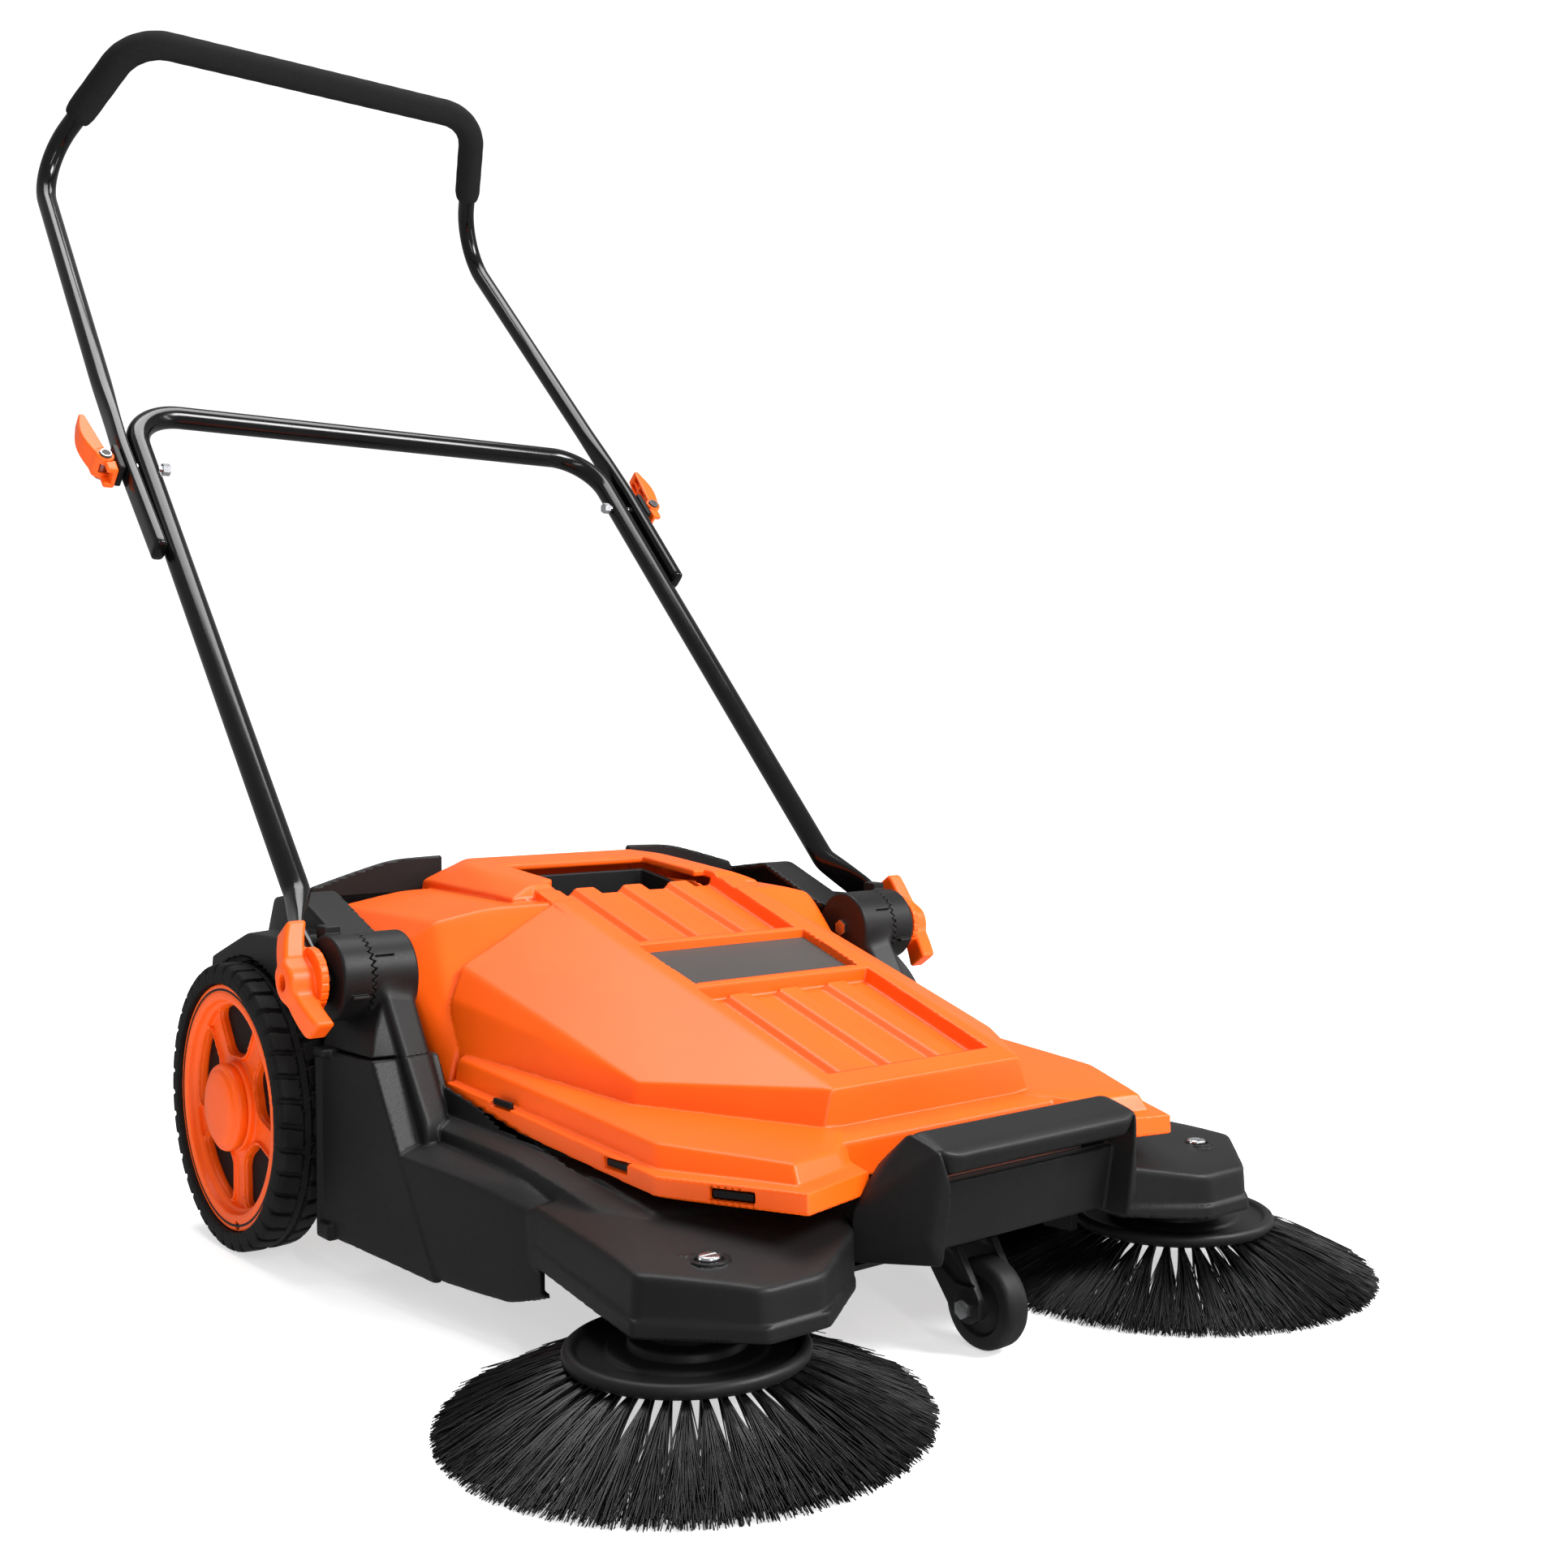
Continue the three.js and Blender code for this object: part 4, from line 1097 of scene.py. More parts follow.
    def liner(self) -> bpy.types.Object:
        """Black liner of the hand recess."""
        outer = block(both([(85, -119.4, 295), (85, -14.6, 295), (86.5, -120, 332), (86.5, -14.6, 349)]), 2.0)
        inner = slab((-80.5, -114.5, 298), (80.5, -19.5, 400), 5.0)
        return Shop.mould("recess_liner", outer.carved(inner, 1.0), (0, -124, 290), (90, -10, 352), 1.4, True)

    def build(self) -> None:
        """Makes the lid, badge, tabs and liner."""
        step = 2.6 * self.shop.coarse
        lid = Shop.mould("lid_shell", self.shape(), (0, -664, 130), (266, 70, 372), step, True)
        self.shop.fit(lid, "hopper", "orange_plastic", "hopper_lid")
        self.shop.fit(self.tabs(), "hopper", "black_plastic")
        self.shop.fit(self.liner(), "hopper", "black_plastic")
        plate = block(self.on_panel([(98.0, -280.3, -2.1), (94.6, -364.7, -2.1), (98.0, -280.3, 0.4),
                                     (94.6, -364.7, 0.4)]), 0.7)
        badge = Shop.mould("badge", plate, (0, -368, 265), (100, -278, 300), 1.2, True)
        self.shop.fit(badge, "hopper", "badge_plastic", "badge_plate")


# ------------------------------------------------------------------ the body


def pillar_mass() -> Solid:
    """The pillar from the side panel up to the ratchet, on the +x side."""
    return block([(268, -118.4, 60), (306, -118.4, 60), (272, -250, 60), (300, -254, 60), (274, -250, 156),
                  (303, -257, 158), (274, -194, 236), (306, -202, 234), (272, -166, 278), (306, -176, 272),
                  (268, -118.4, 304), (306, -118.4, 304), (270, -152, 304), (306, -162, 299)], 9.0)


@dataclass
class Chassis:
    """Black lower body: side panels with two ledges, brush pods and the front cross wall."""

    shop: Workshop
    split: float = -118.0
    brush: tuple[float, float] = (274.5, -604.7)
    screw_y: float = -632.0
    caster_y: float = -592.0
    wall: float = 6.0

    def sides(self) -> Solid:
        """Outside of the two side panels with their ledges."""
        y = self.split
        face = block(both([(338, y, 44), (338, y, 213), (329, -206, 213), (325, -243, 145), (316, -300, 36),
                           (290, y, 44), (290, -243, 145), (290, -206, 213), (290, y, 213)]), 3.0)
        lower = block(both([(338, y, 44), (337, y, 139), (325, -243, 137), (314, -345, 132), (298, -470, 116),
                            (316, -300, 38), (307, -400, 42), (300, -425, 60), (297, -500, 76), (268, -540, 76),
                            (268, -540, 112),
                            (270, y, 146), (300, -243, 144), (291, -400, 138), (270, y, 44)]), 3.0)
        ledge = block(both([(288, y, 157), (287, -380, 152), (270, -545, 133), (264, y, 169), (264, -380, 158),
                            (264, -545, 137), (285, -505, 136), (264, y, 60), (290, y, 60), (286, -505, 80),
                            (264, -545, 80)]), 2.5)
        riser = (pillar_mass() & slab((200, -300, 30), (400, y, 214.9), 0.05)).mirrored()
        step = slab((318, y - 22, 208), (345, y, 216), 2.0)
        lip = rod((337.5, -116.6, 50), (337.5, -116.6, 212), 4.2, 2.0)
        foot = slab((331, -140, 40.5), (341.5, -113, 57), 3.0)
        extras = (step | lip | foot).mirrored()
        return together([lower, face], 3.0).fused(ledge, 2.0).fused(riser, 4.0).fused(extras, 3.0)

    def pods(self) -> Solid:
        """The two round-nosed pods over the brushes, drawn for +x and mirrored."""
        top = block([(305, -430, 127), (333, -624, 125), (268, -690, 118), (212, -690, 116), (150, -650, 128),
                     (130, -600, 138), (150, -540, 140), (255, -480, 144), (305, -440, 84), (336, -624, 82),
                     (268, -694, 80), (216, -694, 80), (150, -650, 84), (140, -560, 84)], 7.0)
        skirt = block([(306, -436, 98), (337.5, -625, 92), (269, -695, 90), (214, -695, 90), (306, -440, 81),
                       (338.5, -625, 79), (269, -696, 77.5), (213, -696, 77.5), (150, -650, 82), (150, -560, 82),
                       (150, -650, 92), (150, -560, 92)], 3.0)
        return top.fused(skirt, 3.0)

    def shape(self) -> Solid:
        """The whole lower body."""
        y = self.split
        middle = block(both([(270, y, 44), (270, y, 200), (264, -300, 160), (262, -545, 138), (270, -560, 60),
                             (150, -600, 60), (150, -600, 140), (270, -300, 34)]), 3.0)
        front = block(both([(152, -560, 60), (152, -560, 140), (140, -634, 98), (130, -634, 146)]), 3.0)
        whole = self.sides().fused(middle, 2.0).fused(front, 4.0).fused(self.pods().mirrored(), 9.0)
        under = block(both([(333, y + 9, 20), (333, y + 9, 100), (311, -300, 20), (292, -500, 20), (289, -500, 108),
                            (308, -300, 128), (328, y + 9, 190), (280, -300, 146), (276, y + 9, 198), (262, -540, 20),
                            (262, -540, 112)]), 3.0)
        pod_room = block([(301, -440, 60), (329, -622, 60), (266, -686, 60), (214, -686, 60), (156, -648, 60),
                          (150, -560, 60), (301, -436, 119), (326, -618, 118), (264, -682, 112), (216, -682, 110),
                          (156, -646, 122), (160, -560, 128)], 4.0).mirrored()
        front_room = block(both([(148, -556, 50), (148, -556, 134), (136, -630, 50), (126, -630, 141)]), 2.0)
        bx, by = self.brush
        boss = rod((bx, self.screw_y, 112), (bx, self.screw_y, 126), 15, 1).mirrored()
        seats = boss | rod((bx, by, 106), (bx, by, 127), 20, 2).mirrored() | rod((0, self.caster_y, 104),
                                                                        (0, self.caster_y, 144), 20, 2)
        keep = self.wall
        under = under & whole.rising_from(75).grown(-keep)
        pod_room = pod_room & whole.rising_from(92).grown(-keep)
        shell = (whole - under - pod_room - front_room) | seats
        room = together([
            block(both([(250, 40, 20), (250, -300, 20), (233, -512, 20), (174, -560, 20), (250, 40, 460),
                        (250, -300, 460), (233, -512, 460), (174, -560, 460)]), 2.0),
            block(both([(264.5, -100, 149), (264.5, -548, 149), (207, -664, 149), (264.5, -100, 460),
                        (264.5, -548, 460), (207, -664, 460)]), 2.0)])
        shell = shell - room
        shell = shell - rod((0, self.caster_y, 50), (0, self.caster_y, 132), 8.3, 0.2)
        bores = rod((bx, by, 50), (bx, by, 121.3), 8.3, 0.2) | rod((bx, by, 20), (bx, by, 76), 96.6, 1.0)
        shell = shell - bores.mirrored()
        well = rod((bx, self.screw_y, 123.5), (bx, self.screw_y, 160), 10.4, 1.0)
        shank = rod((bx, self.screw_y, 118), (bx, self.screw_y, 160), 3.3, 0.2)
        return shell.carved(well.mirrored(), 2.0) - shank.mirrored()

    def screw(self) -> Solid:
        """A slotted pan-head screw in a pod."""
        x, y = self.brush[0], self.screw_y
        head = rod((x, y, 123.9), (x, y, 128.6), 8.4, 2.2)
        slot = slab((x - 12, y - 0.9, 126.4), (x + 12, y + 0.9, 140), 0.2)
        return head.carved(slot, 0.4) | rod((x, y, 119), (x, y, 125), 3, 0.3)

    def build(self) -> None:
        """Makes the lower body and its two screws."""
        step = 2.8 * self.shop.coarse
        shell = Shop.mould("lower_body", self.shape(), (0, -697, 30), (343, -110, 225), step, True)
        self.shop.fit(shell, "chassis", "black_plastic", "chassis_shell")
        x, y = self.brush[0], self.screw_y
        screw = Shop.mould("pod_screw_head_left", self.screw(), (x - 9, y - 9, 118), (x + 9, y + 9, 130), 0.6)
        self.shop.pair(screw, "chassis", "zinc_steel", "pod_screw_left")


@dataclass
class RearCover:
    """Black upper shell behind the hopper with its wheel arches."""

    shop: Workshop
    wall_x: float = 308.0
    front: float = -117.7
    rear: float = 166.0
    axle: tuple[float, float] = (30.0, 139.3)
    pivot: tuple[float, float] = (-140.0, 280.0)
    wall: float = 6.0

    def shape(self) -> Solid:
        """The whole cover."""
        x, y, r = self.wall_x, self.front, self.rear
        outer = block(both([(x, y, 40), (x, r - 20, 40), (x - 40, r, 70), (x, y, 300), (x, 0, 345), (x - 8, 73, 335),
                            (x - 20, 150, 215), (x - 40, r, 190)]), 5.0)
        hump = block(both([(264, 73, 342), (264, 30, 345), (222, 71, 352), (180, 69, 367), (150, 69, 369),
                           (150, 30, 369), (140, 20, 300), (264, 20, 300), (264, 120, 250), (140, 120, 250)]), 5.0)
        inner = block(both([(x - 4, -130, 0), (x - 4, r - 26, 0), (x - 44, r - 4, 66), (x - 4, -130, 300),
                            (x - 4, 0, 341), (x - 12, 70, 331), (x - 24, 146, 213), (x - 44, r - 4, 188)]), 2.0)
        cove = slab((-118, 40, 292), (118, 140, 420), 3.0)
        arch = block([(x - 6, -66, 312), (x - 6, 27, 310), (x - 6, 117, 279), (x - 6, -70, 262), (x - 6, 122, 250),
                      (346, -58, 309), (346, 27, 306), (346, 117, 276), (346, -64, 262), (346, 122, 252)], 3.5)
        cy, cz = self.axle
        wheel_room = rod((311, cy, cz), (400, cy, cz), 143.5, 1.0)
        sleeve = rod((290, cy, cz), (330, cy, cz), 34, 0.5)
        py, pz = self.pivot
        drum = rod((250, py, pz), (330, py, pz), 40, 0.5)
        whole = outer.fused(hump, 6.0)
        shell = whole - (inner & whole.rising_from(90).grown(-self.wall)) - cove
        shell = shell.fused((arch - wheel_room).mirrored(), 3.0)
        room = together([
            block(both([(250, 40, 20), (250, -300, 20), (250, 40, 460), (250, -300, 460)]), 2.0),
            block(both([(264.5, -100, 149), (264.5, -200, 149), (264.5, -100, 460), (264.5, -200, 460)]), 1.0),
            block(both([(266, -150, 176), (266, 62, 290), (266, -110, 290), (266, -150, 460), (266, 62, 460)]), 2.0)])
        return shell - room - sleeve.mirrored() - drum.mirrored()

    def build(self) -> None:
        """Makes the cover."""
        cover = Shop.mould("cover_shell", self.shape(), (0, -119, 38), (348, 167, 370), 2.7 * self.shop.coarse, True)
        self.shop.fit(cover, "chassis", "black_plastic", "rear_cover")


@dataclass
class CarryHandle:
    """Bar with a finger slot across the front."""

    shop: Workshop

    def shape(self) -> Solid:
        """The whole handle."""
        bar = block(both([(110, -664, 196), (104, -668, 199), (110, -700, 190), (96, -706, 184), (100, -700, 170),
                          (108, -668, 176)]), 4.5)
        end = block([(103, -650, 188), (120, -640, 172), (148, -640.5, 140), (150, -640.5, 100), (103, -640.5, 100),
                     (110, -702, 189), (110, -664, 198), (103, -706, 160), (116, -697, 120), (104, -697, 100)], 3.5)
        apron = block(both([(112, -682, 158), (112, -672, 104), (112, -674, 160), (112, -664, 104)]), 2.5)
        rear = block(both([(118, -636.2, 170), (118, -636.2, 150), (118, -642, 150), (118, -646, 172),
                           (90, -636.2, 170), (90, -642, 168)]), 2.0)
        seat = block(both([(138, -560, 40), (142, -634.3, 40), (138, -560, 146.3), (134, -634.3, 146.3)]), 0.5)
        return (bar.fused(end.mirrored(), 4.0).fused(apron, 3.0) | rear) - seat

    def build(self) -> None:
        """Makes the handle."""
        bar = Shop.mould("carry_bar", self.shape(), (0, -707, 98), (152, -634, 200), 1.7 * self.shop.coarse, True)
        self.shop.fit(bar, "chassis", "black_plastic", "front_carry_handle")


@dataclass
class Ratchet:
    """Toothed drum on each side that holds the handle's angle, its pillar and its wing knob."""

    shop: Workshop
    y: float = -140.0
    z: float = 280.0
    radius: float = 39.0
    inner: float = 268.0
    seam: float = 312.0
    outer: float = 340.7
    teeth: int = 36
    bite: float = 2.3
    disc_x: float = 349.7
    lean: float = 56.0

    def turned(self, p: Array) -> tuple[Array, Array, Array, Array]:
        """Radius, angle and the two flat coordinates about the pivot."""
        y, z = p[:, 1] - self.y, p[:, 2] - self.z
        return np.hypot(y, z), np.arctan2(z, y), y, z

    def seam_at(self, angle: Array) -> Array:
        """How far the toothed seam leans outwards at an angle."""
        phase = (angle / (2 * np.pi) * self.teeth) % 1.0
        return self.bite * (np.abs(phase - 0.5) * 4 - 1)

    def half(self, low: float, high: float, toothed_high: bool) -> Solid:
        """One half of the drum with teeth along the seam.

        Args:
            low: inner face.
            high: outer face.
            toothed_high: whether the teeth are on the outer face.

        Returns:
            The half drum.
        """
        def distance(p: Array) -> Array:
            """Signed distance at the points."""
            r, angle, _, _ = self.turned(p)
            wave = self.seam_at(angle)
            a = (low if toothed_high else low + wave) - p[:, 0]
            b = p[:, 0] - (high + wave if toothed_high else high)
            plain, cut = (a, b) if toothed_high else (b, a)
            u, v = r - self.radius + 3.0, plain + 3.0
            rim = np.hypot(np.maximum(u, 0), np.maximum(v, 0)) + np.minimum(np.maximum(u, v), 0) - 3.0
            return np.maximum(rim, cut * 0.75)
        return Solid(distance)

    def bracket(self) -> Solid:
        """Fixed half with its pillar, on the +x side."""
        drum = self.half(self.inner, self.seam - 0.45, True)
        pillar = pillar_mass() & slab((200, -300, 215.0), (400, -118.4, 400), 0.05)
        pillar = pillar | (pillar_mass().grown(-0.7) & slab((200, -300, 203.0), (400, -118.4, 230), 0.05))
        skirt = block([(300, -113, 214.6), (334, -113, 214.6), (328, -203, 214.6), (300, -208, 214.6),
                       (304, -113, 268), (304, -178, 262), (325, -113, 236), (322, -196, 232)], 3.0)
        line = slab((290, self.y - 45, self.z + 20), (308, self.y - 30, self.z + 21.4), 0.3)
        body = drum.fused(pillar, 9.0).fused(skirt, 4.0)
        bore = rod((250, self.y, self.z), (330, self.y, self.z), 5.3, 0.1)
        return (body & slab((266, -400, 203.0), (400, -100, 400), 0.05)).carved(line, 0.3) - bore

    def moving(self) -> Solid:
        """Moving half with its stop tabs, on the +x side."""
        drum = self.half(self.seam + 0.45, self.outer, False)
        top = slab((322, self.y + 8, self.z + 34), (338, self.y + 26, self.z + 46), 1.5)
        front = slab((318, self.y - 43, self.z - 16), (334, self.y - 36, self.z - 12.5), 1.0)
        return drum.fused(top, 1.5).fused(front, 1.0) - rod((300, self.y, self.z), (360, self.y, self.z), 5.3, 0.1)

    def knob(self) -> Solid:
        """Serrated disc with two swept wings, on the +x side."""
        c, s = math.cos(math.radians(self.lean)), math.sin(math.radians(self.lean))

        def disc(p: Array) -> Array:
            """Distance to the serrated disc."""
            r, angle, _, _ = self.turned(p)
            rim = 29.6 - 0.9 * np.maximum(0.0, np.cos(angle * 22)) ** 4
            a, b = r - rim + 1.2, np.abs(p[:, 0] - self.disc_x - 4.2) - 3.8 + 1.2
            return np.hypot(np.maximum(a, 0), np.maximum(b, 0)) + np.minimum(np.maximum(a, b), 0) - 1.2

        def wings(p: Array) -> Array:
            """Distance to the two wings."""
            _, _, y, z = self.turned(p)
            along, across = c * y + s * z, -s * y + c * z
            reach = np.abs(along)
            bow = across - 0.0012 * reach ** 2
            width = 11.0 + 2.6 * np.clip((reach - 18) / 30, 0, 1)
            depth = 10.5 - 0.02 * reach
            high = self.disc_x + 20.0 - 0.0034 * reach ** 2
            q = np.stack([reach - 53.5 + 4, np.abs(bow) - width + 4, np.abs(p[:, 0] - high) - depth + 4], 1)
            return np.linalg.norm(np.maximum(q, 0), axis=1) + np.minimum(q.max(1), 0) - 4
        hub = rod((self.disc_x + 2, self.y, self.z), (self.disc_x + 31.5, self.y, self.z), 17.5, 4.0)
        body = Solid(disc).fused(hub.fused(Solid(wings), 7.0), 2.5)
        well = rod((self.disc_x + 17, self.y, self.z), (self.disc_x + 60, self.y, self.z), 7.5, 1.0)
        return body.carved(well, 2.0) - rod((340, self.y, self.z), (366.3, self.y, self.z), 5.3, 0.1)

    def build(self) -> None:
        """Makes both ratchets."""
        y, z, k = self.y, self.z, self.shop.coarse
        pieces = [
            ("pillar_left", self.bracket(), (264, -268, 150), (336, -98, 321), 1.6 * k, "chassis", "black_plastic",
             "pivot_bracket_left"),
            ("ratchet_left", self.moving(), (308, y - 46, z - 42), (343, y + 42, z + 48), 1.3 * k, "handle_lower",
             "black_plastic", "outer_ratchet_left"),
            ("knob_left", self.knob(), (347, y - 58, z - 58), (384, y + 58, z + 58), 1.1 * k, "knob_left",
             "orange_plastic", "wing_knob_left"),
        ]
        for name, shape, low, high, step, body, slot, node in pieces:
            piece = Shop.mould(name, shape, low, high, step)
            self.shop.pair(piece, body, slot, node)


# ------------------------------------------------------------------ wheels


@dataclass
class Wheels:
    """Two large wheels: lugged tyre, five-spoke rim and round cap."""

    shop: Workshop
    y: float = 30.0
    radius: float = 139.3
    rim: float = 118.7
    inner: float = 318.5
    outer: float = 370.5
    hub: float = 43.0
    lugs: int = 38

    def about(self, p: Array) -> tuple[Array, Array, Array, Array, Array]:
        """Radius, angle, depth from the inner side and the flat coordinates about the axle."""
        y, z = p[:, 1] - self.y, p[:, 2] - self.radius
        return np.hypot(y, z), np.arctan2(z, y), p[:, 0] - self.inner, y, z

    @staticmethod
    def rounded(u: Array, v: Array, edge: float) -> Array:
        """Distance to a corner of two faces with a rounded edge."""
        u, v = u + edge, v + edge
        return np.hypot(np.maximum(u, 0), np.maximum(v, 0)) + np.minimum(np.maximum(u, v), 0) - edge

    def tyre(self) -> Solid:
        """Tyre with blocky lugs that wrap over both shoulders."""
        def distance(p: Array) -> Array:
            """Signed distance at the points."""
            r, angle, x, _, _ = self.about(p)
            w = self.outer - self.inner
            middle = x - w / 2
            crown = self.radius - 3.6 - 0.0042 * middle ** 2 * 0.8
            body = self.rounded(r - crown, np.abs(middle) - w / 2 + 0.3 * 0, 7.0)
            body = np.maximum(body, self.rim + 0.7 - r)
            side = np.where(middle > 0, 0.0, 0.5)
            phase = ((angle / (2 * np.pi) * self.lugs + side + 0.010 * np.abs(middle)) % 1.0) - 0.5
            arc = np.abs(phase) * 2 * np.pi * self.radius / self.lugs
            block_len = 8.9
            lug_r = self.rounded(r - self.radius + 0.0028 * middle ** 2 * 0.7, np.abs(middle) - w / 2 + 0.4, 5.0)
            lug = np.maximum(lug_r, arc - block_len)
            lug = np.maximum(lug, 5.0 - np.abs(middle))
            lug = np.maximum(lug, self.radius - 17 - r)
            rib_r = self.rounded(r - self.radius + 1.6, np.abs(middle) - 3.6, 1.0)
            h = np.maximum(2.0 - np.abs(body - lug), 0) / 2.0
            return np.minimum(np.minimum(body, lug) - h * h * 0.5, rib_r)
        return Solid(distance)

    def window(self, p: Array) -> Array:
        """Signed distance to the nearest window between spokes, in the wheel's plane.

        Args:
            p: points (n, 3).

        Returns:
            Distances (n,).
        """
        r, angle, _, _, _ = self.about(p)
        turn = (angle - np.radians(18.0)) / (2 * np.pi) * 5
        fold = (turn - np.round(turn)) * 2 * np.pi / 5
        u, v = r * np.cos(fold), r * np.sin(fold)
        edge = u * math.sin(math.radians(36)) - np.abs(v) * math.cos(math.radians(36)) - 13.5 - 0.03 * (u - 40)
        corner = 11.0
        q = np.stack([r - 98.0 + corner, 49.0 + corner - r, -edge + corner], 1)
        return np.linalg.norm(np.maximum(q, 0), axis=1) + np.minimum(q.max(1), 0) - corner

    def rim_shape(self) -> Solid:
        """The rim with its spokes."""
        def distance(p: Array) -> Array:
            """Signed distance at the points."""
            r, _, x, _, _ = self.about(p)
            w = self.outer - self.inner
            barrel = np.maximum(self.rounded(r - self.rim, np.abs(x - w / 2) - (w / 2 - 4), 1.6), 107.0 - r)
            lip = np.maximum(np.abs(x - (w - 8.5)) - 4.5, np.maximum(104.0 - r, r - 110))
            well = self.rounded(np.abs(r - 103.5) - 5.0, np.abs(x - 27) - 14.0, 2.0)
            hub = self.rounded(r - self.hub, np.abs(x - (w - 8) / 2) - (w - 8) / 2, 3.0)
            hole = self.window(p)
            face = 34.5 + 2.2 * np.clip((60 - r) / 20, 0, 1)
            web = self.rounded(np.maximum(r - 104, 30 - r), np.maximum(12.0 - x, x - face), 1.0)
            web = np.maximum(web, -hole)
            ridge = np.maximum(np.abs(hole - 2.0) - 1.5, np.maximum(x - face - 3.4, 10.0 - x))
            ridge = np.maximum(ridge, np.maximum(r - 105, 38 - r))
            cone = np.maximum(np.abs(r - (101.0 + 0.36 * (x - 34))) - 2.4, np.abs(x - 39.5) - 7.5)
            parts = [barrel, np.maximum(lip, -1e3), well, hub, web, ridge, cone]
            out = parts[0]
            for part in parts[1:]:
                h = np.maximum(2.4 - np.abs(out - part), 0) / 2.4
                out = np.minimum(out, part) - h * h * 0.6
            _, _, _, y, z = self.about(p)
            notch = np.maximum(np.hypot(y + 20, z + 111) - 4.5, w - 14 - x)
            out = np.maximum(out, -notch)
            return np.maximum(out, 8.6 - r)
        return Solid(distance)

    def cap(self, name: str) -> bpy.types.Object:
        """Round hub cap.

        Args:
            name: the piece's name.

        Returns:
            The cap.
        """
        base = self.outer - 7.7
        profile = [(0, 0), (41, 0), (42, 1), (42, 7), (41, 9), (38.5, 9.8), (37, 9.8), (36.3, 10.2), (35.4, 12.2),
                   (33.5, 13.2), (20, 13.7), (0, 13.9)]
        return Shop.lathe(name, profile, (base, self.y, self.radius), Way.X, 96, 50)

    def stripe(self, name: str) -> bpy.types.Object:
        """Thin dark ring let into the rim's edge."""
        profile = [(112.2, 0), (114.4, 0), (114.4, 4.3), (112.2, 4.3)]
        return Shop.lathe(name, profile, (self.outer - 8, self.y, self.radius), Way.X, 144, 50)

    def build(self) -> None:
        """Makes both wheels."""
        r = self.radius
        low, high = (self.inner - 1, self.y - r - 1, -1), (self.outer + 1, self.y + r + 1, 2 * r + 1)
        k = self.shop.coarse
        tyre = Shop.mould("tyre_body_left", self.tyre(), low, high, 2.0 * k)
        rim = Shop.mould("rim_left", self.rim_shape(), low, high, 1.7 * k)
        for piece, slot, node in ((tyre, "tyre_rubber", "tyre_left"), (rim, "orange_plastic", "wheel_rim_left"),
                                  (self.cap("cap_left"), "orange_plastic", "hub_cap_left"),
                                  (self.stripe("stripe_left"), "black_plastic", "")):
            self.shop.pair(piece, "wheel_left", slot, node)


# ------------------------------------------------------------------ brushes


